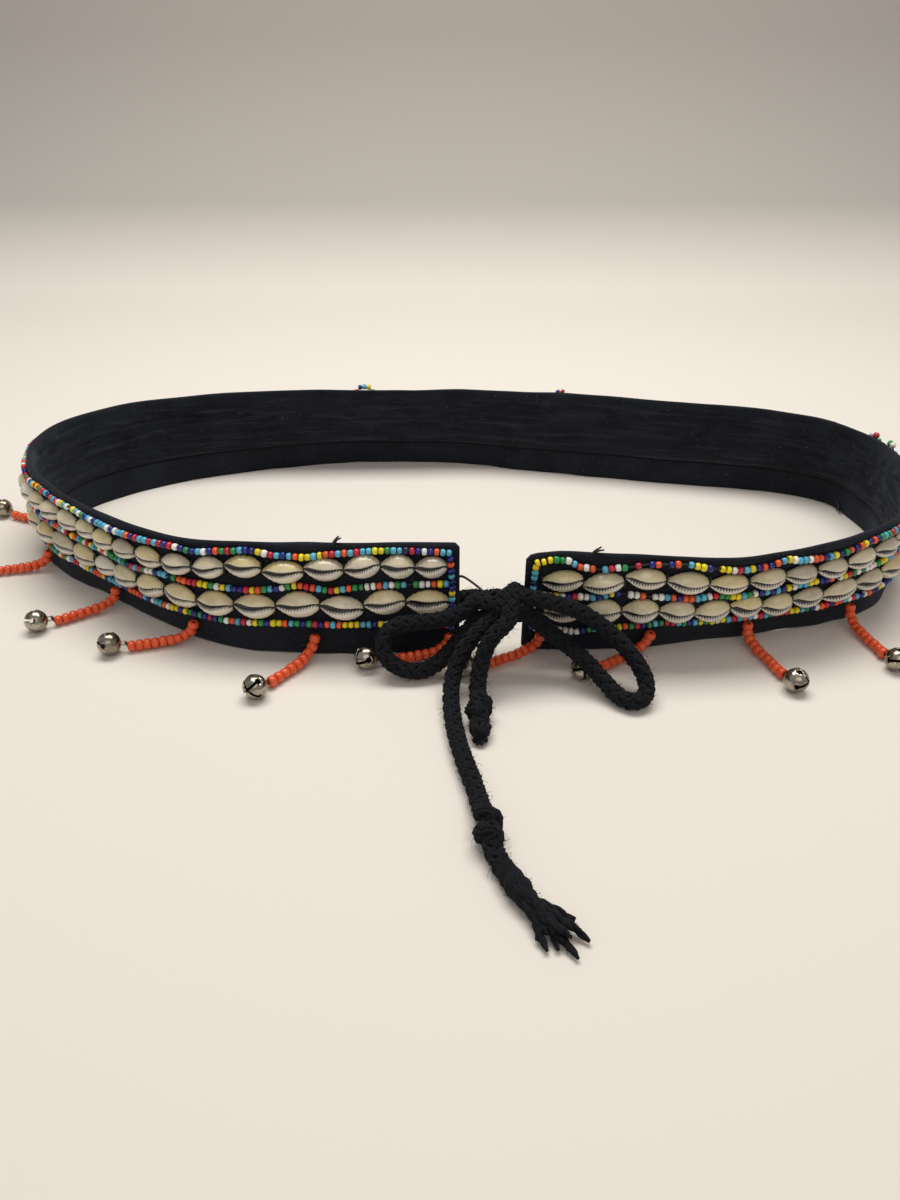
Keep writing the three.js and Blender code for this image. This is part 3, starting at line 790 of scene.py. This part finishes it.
def cowrieTemplate(seed):
    # length 1 along x with the pointed tip at +x, width 1 up y, height 1 out z; all set per shell
    rng = random.Random(seed)
    rings, stations, nominal = cowrie["rings"], cowrie["stations"], cowrie["lowerWidth"]
    bend, slant = rng.uniform(-0.05, 0.05), rng.uniform(-0.06, 0.06)
    wide, fat = rng.uniform(0.8, 1.25), rng.uniform(0.9, 1.1)
    bm = bmesh.new()
    bmesh.ops.create_uvsphere(bm, u_segments=stations, v_segments=rings, radius=1)
    lobe = bm.verts.layers.float.new("lobe")
    # each point's share of painted shade: in the slit, between the teeth and at the tips
    slitShade = bm.verts.layers.float.new("slitShade")
    for vert in bm.verts:
        t = math.acos(max(-1, min(1, vert.co.z))) / math.pi
        ring = round(t * rings)
        station = int(math.atan2(vert.co.y, vert.co.x) % math.tau / math.tau * stations)
        half = readTable(outline, t) / 2
        top, low = half * (1.03 + bend), -half * (0.97 - bend)
        tall = (half * 2) ** 0.62 * (1 + 0.1 * math.sin(math.pi * t))
        middle = readTable(slitLine, t) * half + slant * (t - 0.5) * half
        gape = readTable(slitGap, t) * wide * cowrie["gap"] / nominal * min(1, half * 4)
        tooth = (1 if ring % 2 else -1) * cowrie["tooth"] / nominal * min(1, half * 3)
        tooth = tooth if 2 < ring < rings - 1 else 0
        drop = cowrie["depth"] / cowrie["height"] * min(1, half * 3)

        def dome(y):
            reach = abs(y) / (top if y > 0 else -low)
            return tall * max(0, 1 - reach ** 2.3) ** 0.5

        # the dark values below are painted shade: at the tips, in the slit and between the teeth
        if ring in (0, rings):
            y, z, colour, dark = (top + low) / 2, tall * 0.5, 0.5, 0.3
        elif station < 6:
            share = lowerShares[station]
            lip = middle - gape
            y = low + (lip - low) * share
            z = 0.12 if share == 0 else dome(y)
            colour, dark = 0.1 + 0.5 * (1 - share), 0
            if station == 5:
                y += max(0, tooth) * 1.3
                z -= 0.07 if tooth > 0 else 0.14
                dark = 0 if tooth > 0 else 0.9
        elif station < 8:
            y = middle + gape * (0.8 if station == 7 else -0.7)
            z, colour, dark = max(0.02, dome(middle) - drop), 0, 1
        elif station < 16:
            share = upperShares[station - 8]
            lip = middle + gape
            y = top + (lip - top) * share
            z = 0.12 if share == 0 else dome(y)
            colour, dark = min(1, 0.45 + 1.1 * (1 - share)), 0
            if station == 8:
                y -= max(0, tooth) * 0.8
                z -= 0.1 if tooth > 0 else 0.15
                dark = 0.35 if tooth > 0 else 0.9
        else:
            y, z, colour, dark = (top if station == 16 else low) * 0.7, 0, 0.5, 0
        vert.co = (0.5 - t, y, z * fat)
        vert[lobe] = colour
        vert[slitShade] = dark
    bmesh.ops.recalc_face_normals(bm, faces=bm.faces)
    return asTemplate(f"cowrie_{seed}", bm)


cowrieTemplates = [cowrieTemplate(seed) for seed in range(cowrie["variants"])]
shellRows = {
    # lengths in millimetres from each end of the band, as the photograph shows them
    "shell_row_upper": {
        "up": 37.9, "width": cowrie["upperWidth"], "from": 5.2, "to": 6.6, "usual": 15.4, "seed": 31,
        "leftEnd": [13.4, 14.0, 15.0, 16.4, 17.2, 15.6, 14.4, 14.8, 14.4, 14.0],
        "rightEnd": [17.0, 16.6, 16.2, 17.2, 16.8, 15.4, 15.2, 14.8],
        "leftUp": [40.2, 40.3, 40.4, 39.6, 38.3, 40.3, 38.4, 38.2, 38, 38],
        "rightUp": [37.2, 36.4, 39.4, 38.0, 35.8, 37.2, 36.8, 37.2],
    },
    "shell_row_lower": {
        "up": 22.2, "width": cowrie["lowerWidth"], "from": 4.4, "to": 8.0, "usual": 16.8, "seed": 32,
        "leftEnd": [18.2, 17.4, 18.2, 18.4, 17.6, 17.0, 17.2, 17.0],
        "rightEnd": [16.8, 15.6, 15.4, 15.4, 15.4, 14.4, 14.6, 14.4],
        "leftUp": [24.6, 24.6, 22.6, 23.4, 22.6, 21.8, 22, 22],
        "rightUp": [22.0, 22.0, 22.8, 21.8, 20.6, 21.6, 20.4, 21.8],
    },
}


def shellPlaces(row, rng):
    # length and height of each shell: charted at both ends, the usual ones with some spread between them
    left, right = row["leftEnd"], row["rightEnd"][::-1]
    room = bandLength - row["from"] - row["to"] - sum(left) - sum(right)
    count = round(room / row["usual"])
    between = [row["usual"] * rng.uniform(0.9, 1.1) for _ in range(count)]
    scale = room / sum(between)
    lengths = left + [length * scale for length in between] + right
    heights = row["leftUp"] + [row["up"] + rng.uniform(-0.9, 0.9) for _ in between] + row["rightUp"][::-1]
    return zip(lengths, heights)


def shellRow(name, row):
    rng = random.Random(row["seed"])
    bm = bmesh.new()
    bm.from_mesh(cowrieTemplates[0])
    tone = bm.verts.layers.float.new("tone")
    bmesh.ops.delete(bm, geom=bm.verts[:], context="VERTS")
    joints = []
    along = row["from"]
    for length, up in shellPlaces(row, rng):
        middle = along + length / 2
        on = wayOn(middle, up, 4)
        rise = (onBand(middle, up + 5, 0) - onBand(middle, up - 5, 0)).normalized()
        out = rise.cross(on).normalized()
        lean = readTable(cowrie["lean"], middle)
        turn = Matrix.Rotation(math.radians(rng.gauss(lean, cowrie["spread"])), 3, out)
        size = row["width"] * rng.uniform(*cowrie["widths"]) * (1 + lean * cowrie["leanNarrows"])
        at = onBand(middle, up, loop["cloth"] / 2 + 0.25)
        tall = cowrie["height"] * rng.uniform(*cowrie["heights"])
        place = axes(turn @ on * length * cowrie["overlap"], turn @ rise * size, out * tall, at)
        shade = min(1, max(0, rng.gauss(*cowrie["tone"])))
        for vert in addCopy(bm, rng.choice(cowrieTemplates), place):
            vert[tone] = shade
        joints.append((along, up))
        along += length
    joints.append((along, up))
    bmesh.ops.recalc_face_normals(bm, faces=bm.faces)
    return fromBmesh(name + "_cowries", bm, shellGlaze), joints


shellJoints = []
for name, row in shellRows.items():
    piece, joints = shellRow(name, row)
    shellJoints += joints
    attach(piece, "root")
    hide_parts(name)
print("cowries sewn on")


# Seed beads, in rows above, between and below the cowries, with a column at each end

seedBead = {
    "diameter": 3.2, "length": 2.4, "hole": 1.0, "sides": 8, "pitch": 2.5, "gapChance": 0.05,
    "columnAt": 3.2, "columnBow": 0.72, "columnInset": (2, 0.5),  # the insets are from the top and bottom rows
    # each bead's own
    "tilt": 0.1, "sizes": (0.9, 1.08), "lengths": (0.85, 1.12), "out": (-0.1, 0.25), "light": (0.85, 1.1),
    "tint": (0.95, 1.05),
}
beadColours = {
    "c": "#58b2d2", "b": "#20207c", "d": "#13154a", "w": "#f1efe9", "y": "#f2da22", "o": "#ec5c2b",
    "r": "#c41f38", "g": "#2b9150",
}
beadMix = "cccccbbbbwwwwyyyyoooorrrggg"  # how often each colour comes where no order is charted
beadRows = {
    # orders run from the band's left end, and for the right from its right end; a dot is a gap
    "top": {"up": 46.0, "from": 4.4, "wave": 1.1,
            "leftUp": [(0, 46.4), (13, 47.4), (27, 47.8), (36, 47.7), (45, 46.9), (52, 46.4), (63, 45.0),
                       (74, 45.8), (86, 47.7), (98, 46.9), (110, 45.6), (120, 46.6), (140, 46.2)],
            "rightUp": [(0, 43.6), (5, 46.2), (10, 47.4), (16, 47.0), (23, 43.9), (30, 43.0), (38, 44.4),
                        (49, 46.8), (62, 47.1), (73, 45.0), (85, 43.0), (94, 43.8), (104, 46.4), (111, 44.6),
                        (124, 43.9), (150, 46.2)],
            "left": "ccobwbrdccgyyccrcocroycyyocbcrwybbcgrgobwcbg",
            "right": "yyyggwcowo.crwg.r.bo.bo.cyyb.yywrcybobocywcc"},
    "middle": {"up": 30.4, "from": 5.6, "wave": 1.0,
               "leftUp": [(0, 33.4), (27, 32.9), (43, 32.2), (53, 30.6), (68, 32.6), (77, 31.2), (86, 30.2),
                          (120, 30.4)],
               "rightUp": [(0, 30.2), (20, 29.4), (28, 29.2), (38, 31.8), (59, 29.4), (69, 28.4), (78, 29.4),
                           (89, 27.8), (100, 28.6), (130, 30.4)],
               "left": "cyowwg.cgwcowwggocyrgcoroygwbcgoyrbbcyw",
               "right": "cwwywbrwwcbcyb.wwo.wwcobooccwrggyycgwbcbcby"},
    "bottom": {"up": 14.2, "from": 5.4, "wave": 0.8,
               "leftUp": [(0, 14.6), (60, 15.2), (120, 14.4)],
               "rightUp": [(0, 13.2), (14, 12.8), (22, 11.4), (30, 12.8), (46, 14.4), (60, 15.6), (74, 14.2),
                           (130, 14.2)],
               "left": "ooyygcwycbwybccyyyocobrgbgcoyy",
               "right": "wwwwwwwwbgcroyyogrbgcgrrcgbcyg"},
}
# where the top row rides up over the band's edge: along, half its width and how far up, in millimetres
looseBeads = [(475, 5, 4.8), (592, 2.4, 4.0), (772, 4, 4.6), (787, 3, 4.2)]
columnOrders = {"left": "bobcdbycbcbcb", "right": "yccdcbcbwcbcb"}


def beadTemplate():
    outer, hole, end = seedBead["diameter"] / 2, seedBead["hole"] / 2, seedBead["length"] / 2 * 0.86
    profile = [(-end, hole), (-end, outer * 0.8), (0, outer), (end, outer * 0.8), (end, hole)]
    return lathed("seed_bead", profile, seedBead["sides"])


def rowHeight(row, along):
    # rows are sewn by hand, so they wander between the shells: charted at the ends, by chance elsewhere
    fromRight = bandLength - along
    wander = row["wave"] * 2 * rough(along * 0.045, row["up"], 0)
    for fromEnd, table in ((along, row["leftUp"]), (fromRight, row["rightUp"])):
        if fromEnd <= table[-1][0]:
            return readTable(table, fromEnd) + wander * 0.3
    climb = sum(rise * math.exp(-((along - middle) / wide) ** 4) for middle, wide, rise in looseBeads)
    return row["up"] + wander + (climb if row is beadRows["top"] else 0)


def beadPlaces(rng):
    # (along, up, way on the band, colour) of every bead, and the thread's own line in pieces
    places, threads = [], []
    for row in beadRows.values():
        count = int((bandLength - 2 * row["from"]) / seedBead["pitch"])
        pitch = (bandLength - 2 * row["from"]) / count
        line = []
        for i in range(count + 1):
            along = row["from"] + i * pitch
            up = rowHeight(row, along)
            line.append((along, up))
            fromRight = count - i
            if i < len(row["left"]):
                letter = row["left"][i]
            elif fromRight < len(row["right"]):
                letter = row["right"][fromRight]
            else:
                letter = "." if rng.random() < seedBead["gapChance"] else rng.choice(beadMix)
            if letter != ".":
                slope = rowHeight(row, along + 1) - rowHeight(row, along - 1)
                places.append((along, up, math.atan2(slope, 2), letter))
        threads.append(line)
    top, low = (beadRows[end]["up"] - inset for end, inset in zip(("top", "bottom"), seedBead["columnInset"]))
    left, right = seedBead["columnAt"], bandLength - seedBead["columnAt"]
    for at, inward, order in ((left, 1, columnOrders["left"]), (right, -1, columnOrders["right"])):
        for i, letter in enumerate(order):
            share = i / (len(order) - 1)
            bow = seedBead["columnBow"] * (1 - math.sin(math.pi * share)) * inward
            places.append((at + bow, top + (low - top) * share, math.pi / 2, letter))
        threads.append([(at, top + (low - top) * i / 12) for i in range(13)])
    return places, threads


beadRandom = random.Random(41)
places, beadThreads = beadPlaces(beadRandom)
template = beadTemplate()
bm = bmesh.new()
glass = bm.verts.layers.float_color.new("glass")
for along, up, tilt, letter in places:
    on = wayOn(along, up, 2)
    out = upright.cross(on).normalized()
    axis = around(on, upright, tilt + beadRandom.gauss(0, seedBead["tilt"]))
    size = beadRandom.uniform(*seedBead["sizes"])
    stretch = beadRandom.uniform(*seedBead["lengths"])
    at = onBand(along, up, (loop["cloth"] + seedBead["diameter"]) / 2 + beadRandom.uniform(*seedBead["out"]))
    place = axes(axis * stretch, out * size, axis.cross(out) * size, at)
    light = beadRandom.uniform(*seedBead["light"])
    tint = [min(1, c * light * beadRandom.uniform(*seedBead["tint"])) for c in linear(beadColours[letter])[:3]]
    for vert in addCopy(bm, template, place):
        vert[glass] = (*tint, 1)
seedBeads = fromBmesh("seed_beads", bm, beadGlass)
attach(seedBeads, "root")
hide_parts("bead_border_top", "bead_midline", "bead_border_bottom")
print(f"{len(places)} seed beads sewn on")


# Strings of coral beads and their bells. Each string's turn is the way that its lower part lies.

string = {
    "bead": 4.75, "length": 3.35, "hole": 1.4, "sides": 10, "top": 11, "out": 0.3, "floorGap": 0.15,
    "spacing": 1.03, "footShare": 0.35,
    "aside": 0.12, "sizes": (0.92, 1.07), "yaw": 0.07, "pitch": 0.05,  # each bead's own
    # each string's share of the way along the band, and the degrees that it lies away from straight out
    "turns": [(0.004, 76), (0.058, 34), (0.109, 53), (0.158, 18), (0.213, 27), (0.26, 26), (0.309, 20),
              (0.358, -12), (0.407, 15), (0.455, 30), (0.503, -8), (0.551, 12), (0.599, 25), (0.647, -15),
              (0.695, 10), (0.743, 32), (0.79, 5), (0.856, 17), (0.906, -4), (0.948, 61), (0.9925, 65)],
}
bell = {
    "diameter": 10.0, "sides": 24, "rings": 12, "wall": 0.45, "slot": 0.6, "slotEnd": 1.2,  # half widths
    "slotFrom": 0.9, "slotWideTo": 2.5, "seam": 1.035, "pellet": 1.7, "lift": 0.2,
    "wire": 0.36, "eye": 1.4, "eyeOut": 0.55, "eyeDown": 0.6, "eyeTilt": 0.5,
    "turned": 0.5, "facesUp": (-0.1, 0.7),  # each bell's own
}


def coralTemplate():
    outer, hole, half = string["bead"] / 2, string["hole"] / 2, string["length"] / 2
    profile = [(-half * 0.94, hole), (-half * 0.98, outer * 0.66), (-half * 0.62, outer * 0.93), (0, outer),
               (half * 0.62, outer * 0.93), (half * 0.98, outer * 0.66), (half * 0.94, hole)]
    return lathed("coral_bead", profile, string["sides"])


def bellTemplate():
    # the shank is at -x and the crossed slots are at +x
    radius = bell["diameter"] / 2
    bm = bmesh.new()
    bmesh.ops.create_uvsphere(bm, u_segments=bell["sides"], v_segments=bell["rings"], radius=radius,
                              matrix=Matrix.Rotation(math.pi / 2, 4, "Y"))
    across = (-bell["slotEnd"], -bell["slot"], bell["slot"], bell["slotEnd"])
    along = (bell["slotFrom"], bell["slotWideTo"])
    for normal, cuts in (((0, 1, 0), across), ((0, 0, 1), across), ((1, 0, 0), along)):
        for place in cuts:
            bmesh.ops.bisect_plane(bm, geom=bm.verts[:] + bm.edges[:] + bm.faces[:], dist=0.0001,
                                   plane_co=Vector(normal) * place, plane_no=normal)
    cut = []
    for face in bm.faces:
        x, y, z = face.calc_center_median()
        half = bell["slotEnd"] if x < bell["slotWideTo"] else bell["slot"]
        if x > bell["slotFrom"] and min(abs(y), abs(z)) < half:
            cut.append(face)
    bmesh.ops.delete(bm, geom=cut, context="FACES")
    bmesh.ops.solidify(bm, geom=bm.faces[:], thickness=bell["wall"])
    for vert in bm.verts:
        if vert.co.length > radius - 0.1 and abs(vert.co.x) < 0.3:
            vert.co *= bell["seam"]  # where the halves are pressed together
    bmesh.ops.create_uvsphere(bm, u_segments=8, v_segments=6, radius=bell["pellet"],
                              matrix=Matrix.Translation((1.2, 0.6, -radius + bell["pellet"] + 0.7)))
    # the faces inside the wall and the pellet take the second material, which is painted shade
    for face in bm.faces:
        if face.calc_center_median().length < radius - bell["wall"] * 0.7:
            face.material_index = 1
    return asTemplate("jingle_bell", bm)


coral, jingle = coralTemplate(), bellTemplate()
stringRandom = random.Random(51)
coralBm, bellBm = bmesh.new(), bmesh.new()
shanks = newTube("shanks", bell["wire"])


def hungLine(along, bellAt, lie):
    # down from the band and over the floor to the bell's shank
    stand = loop["cloth"] / 2 + string["out"] + string["bead"] / 2
    top = onBand(along, string["top"], stand)
    foot = onBand(along, 0, stand)
    foot.z = string["bead"] / 2 + string["floorGap"]
    end = bellAt - lie * (bell["diameter"] / 2 + bell["eye"] * 1.6)
    end.z = string["bead"] / 2 + string["floorGap"] * 2
    line = []
    for i in range(41):
        t = i / 40
        a, b, c = (1 - t) ** 3, 3 * t * (1 - t) ** 2, 3 * t * t * (1 - t)
        line.append(top * a + foot * b + foot.lerp(end, string["footShare"]) * c + end * t ** 3)
    return line


def addCorals(curve):
    line = evenly(curve, string["length"] * string["spacing"])
    for a, b in zip(line, line[1:]):
        axis = (b - a).normalized()
        side = axis.cross(upright).normalized()
        at = (a + b) / 2 + side * stringRandom.gauss(0, string["aside"])
        size = stringRandom.uniform(*string["sizes"])
        tilt = axis + side * stringRandom.gauss(0, string["yaw"])
        tilt = (tilt + upright * stringRandom.gauss(0, string["pitch"])).normalized()
        side = tilt.cross(upright).normalized()
        at.z = max(at.z, string["bead"] / 2 * size + string["floorGap"])
        length = (b - a).length / string["length"]
        addCopy(coralBm, coral, axes(tilt * length, side * size, tilt.cross(side) * size, at))


def addBell(bellAt, lie):
    facing = Matrix.Rotation(stringRandom.gauss(0, bell["turned"]), 3, "Z") @ lie
    facing = (facing + upright * stringRandom.uniform(*bell["facesUp"])).normalized()
    across = facing.orthogonal().normalized()
    across = Matrix.Rotation(stringRandom.uniform(0, math.pi), 3, facing) @ across
    addCopy(bellBm, jingle, axes(facing, across, facing.cross(across), bellAt))
    ringAt = bellAt - lie * (bell["diameter"] / 2 + bell["eye"] * bell["eyeOut"])
    ringAt.z = bellAt.z - bell["eyeDown"]
    tilted = (across * bell["eyeTilt"] + upright).normalized()
    addLine(shanks, [ringAt + around(lie, tilted, math.tau * i / 12) * bell["eye"] for i in range(13)])


stringThreads = []
for number, (share, turn) in enumerate(string["turns"], 1):
    lie = Matrix.Rotation(math.radians(-turn), 3, "Z") @ bandFrame(share * bandLength)[2]
    low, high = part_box(f"bell_{number:02d}")
    bellAt = (low + high) / (2 * mm)
    bellAt.z = bell["diameter"] / 2 + bell["lift"]
    curve = hungLine(share * bandLength, bellAt, lie)
    addCorals(curve)
    stringThreads.append(curve + [bellAt - lie * (bell["diameter"] / 2 + bell["eye"])])
    addBell(bellAt, lie)
coralStrings = fromBmesh("coral_bead_strings", coralBm, coralGlass)
# the second material is the painted shade inside the bells
bells = fromBmesh("jingle_bells", bellBm, nickel, bellInsideShade)
bellShanks = asMesh("bell_shanks", shanks, nickel)
numbers = [f"{n:02d}" for n in range(1, len(string["turns"]) + 1)]
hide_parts(*[f"string_{n}" for n in numbers])
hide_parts(*[f"bell_{n}" for n in numbers])
for piece, slotName in ((coralStrings, "coral_bead"), (bells, "bell_metal"), (bellShanks, "bell_metal")):
    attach(piece, "root")
print("strings and bells hung")


# Threads: under the bead rows, across the shells' ends, through the strings, and loose at the band's edges

sewn = {
    "radius": 0.42, "underBeads": 1.5, "loose": (1.5, 0.7), "drawstring": 1.3,  # shares of the radius
    # a stitch over the place where two shells meet: up and out
    "stitch": [(-2.4, 0.0), (-1.7, 1.6), (0, 2.4), (1.7, 1.6), (2.4, 0.0)],
}
looseEnds = {
    # along the band, up and out, in millimetres: ends of thread that stick out of the edges
    "overLeftFront": [(52, 49, 0), (51, 50.8, -0.4), (49.4, 52.4, -1)],
    "overLeftFrontFrayed": [(51.4, 49.4, 0.2), (50, 51.4, 0.2), (48.4, 51.8, -0.4)],
    "overRightFront": [(1019, 49, 0), (1017.8, 50.8, 0.2), (1015.6, 52.6, 0)],
    "overRightFrontFrayed": [(1019, 49, 0.2), (1017, 50.8, 0.6), (1014.4, 51.4, 0.4)],
    "insideRight": [(758, 5, -1.6), (760, 3.4, -3), (760.4, 1.4, -4.4)],
    "insideRightFrayed": [(758, 5, -1.6), (761, 3, -3.4), (762.4, 1.4, -4)],
    "insideLeft": [(168, 44, -1.4), (165, 45, -3), (163, 44, -4)],
}
threads = newTube("threads", sewn["radius"])
for line in beadThreads:
    addLine(threads, [onBand(along, up, loop["cloth"] / 2 + sewn["underBeads"]) for along, up in line])
for along, up in shellJoints:
    addLine(threads, [onBand(along, up + rise, loop["cloth"] / 2 + out) for rise, out in sewn["stitch"]])
for line in stringThreads:
    addLine(threads, line)
for points in looseEnds.values():
    line = smoothLine([onBand(*point) for point in points], 6)
    thick, thin = sewn["loose"]
    addLine(threads, line, [thick + (thin - thick) * i / len(line) for i in range(len(line))])
drawstring = [onBand(0.6, 35, 0), (1.6, -98.4, 33.6), (7, -102, 31.4), (10.6, -106.4, 30)]
drawstring = drawstring[:1] + [Vector(p) + routeShift for p in drawstring[1:]]
line = smoothLine(drawstring, 8)
addLine(threads, line, [sewn["drawstring"]] * len(line))
sewing = asMesh("sewing_threads", threads, blackThread)
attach(sewing, "root")
print("threads sewn")


# Floor, backdrop and lights

# the backdrop's grey above the floor is painted shade: it darkens as it rises, where the light falls off up the
# sweep and the wall
stage = {
    "floor": "#e3ddd5", "low": "#b3aea7", "high": "#a39d96",  # greyer as soon as it leaves the floor
    "highAt": 0.24, "reach": 2.2, "bendFrom": 0.5, "bend": 0.4, "top": 2.4,  # metres
}


def makeStage():
    bm = bmesh.new()
    half = stage["reach"]
    start, bend = stage["bendFrom"], stage["bend"]
    profile = [(-half, 0), (0, 0), (start, 0)]
    for i in range(1, 13):
        angle = math.pi / 2 * i / 12
        profile.append((start + math.sin(angle) * bend, (1 - math.cos(angle)) * bend))
    profile.append((start + bend, stage["top"]))
    verts = [bm.verts.new((-half, y, z)) for y, z in profile]
    edges = [bm.edges.new((a, b)) for a, b in zip(verts, verts[1:])]
    wide = bmesh.ops.extrude_edge_only(bm, edges=edges)["geom"]
    bmesh.ops.translate(bm, vec=(2 * half, 0, 0), verts=[v for v in wide if isinstance(v, bmesh.types.BMVert)])
    bmesh.ops.recalc_face_normals(bm, faces=bm.faces)
    material, tree, place = newMaterial("pale_backdrop")
    # painted shade: the colour darkens with height
    height = addNode(tree, "SeparateXYZ", {"Vector": place}).outputs["Z"]
    share = addNode(tree, "MapRange", {"Value": height, "From Max": stage["highAt"]})
    colour = addNode(tree, "ValToRGB", {"Fac": share.outputs["Result"]},
                     [(0.03, stage["floor"]), (0.3, stage["low"]), (1, stage["high"])])
    closeMaterial(material, {"Base Color": colour.outputs["Color"], "Roughness": 0.7})
    return fromBmesh("backdrop", bm, material)


backdrop = makeStage()

lamps = {
    "ceiling": {"place": (0, 0.25, 1.1), "size": (1.1, 0.5), "power": 12.5, "colour": "#fffcf6"},
    "front_fill": {"place": (0.1, -1.3, 1.2), "size": (1.4, 0.9), "power": 4.2, "colour": "#ffeddb"},
}
room = {"colour": "#e6e8ea", "strength": 0.45}
for name, lamp in lamps.items():
    light = bpy.data.lights.new(name, "AREA")
    light.shape = "RECTANGLE"
    light.size, light.size_y = lamp["size"]
    light.energy = lamp["power"]
    light.color = linear(lamp["colour"])[:3]
    holder = addObject(name, light)
    holder.location = lamp["place"]
    holder.rotation_euler = Vector(lamp["place"]).to_track_quat("Z", "Y").to_euler()
world = bpy.data.worlds.new("soft_room")
scene.world = world
world.use_nodes = True
background = world.node_tree.nodes["Background"].inputs
background["Color"].default_value = linear(room["colour"])
background["Strength"].default_value = room["strength"]
scene.view_settings.view_transform = "Standard"
print("stage lit")
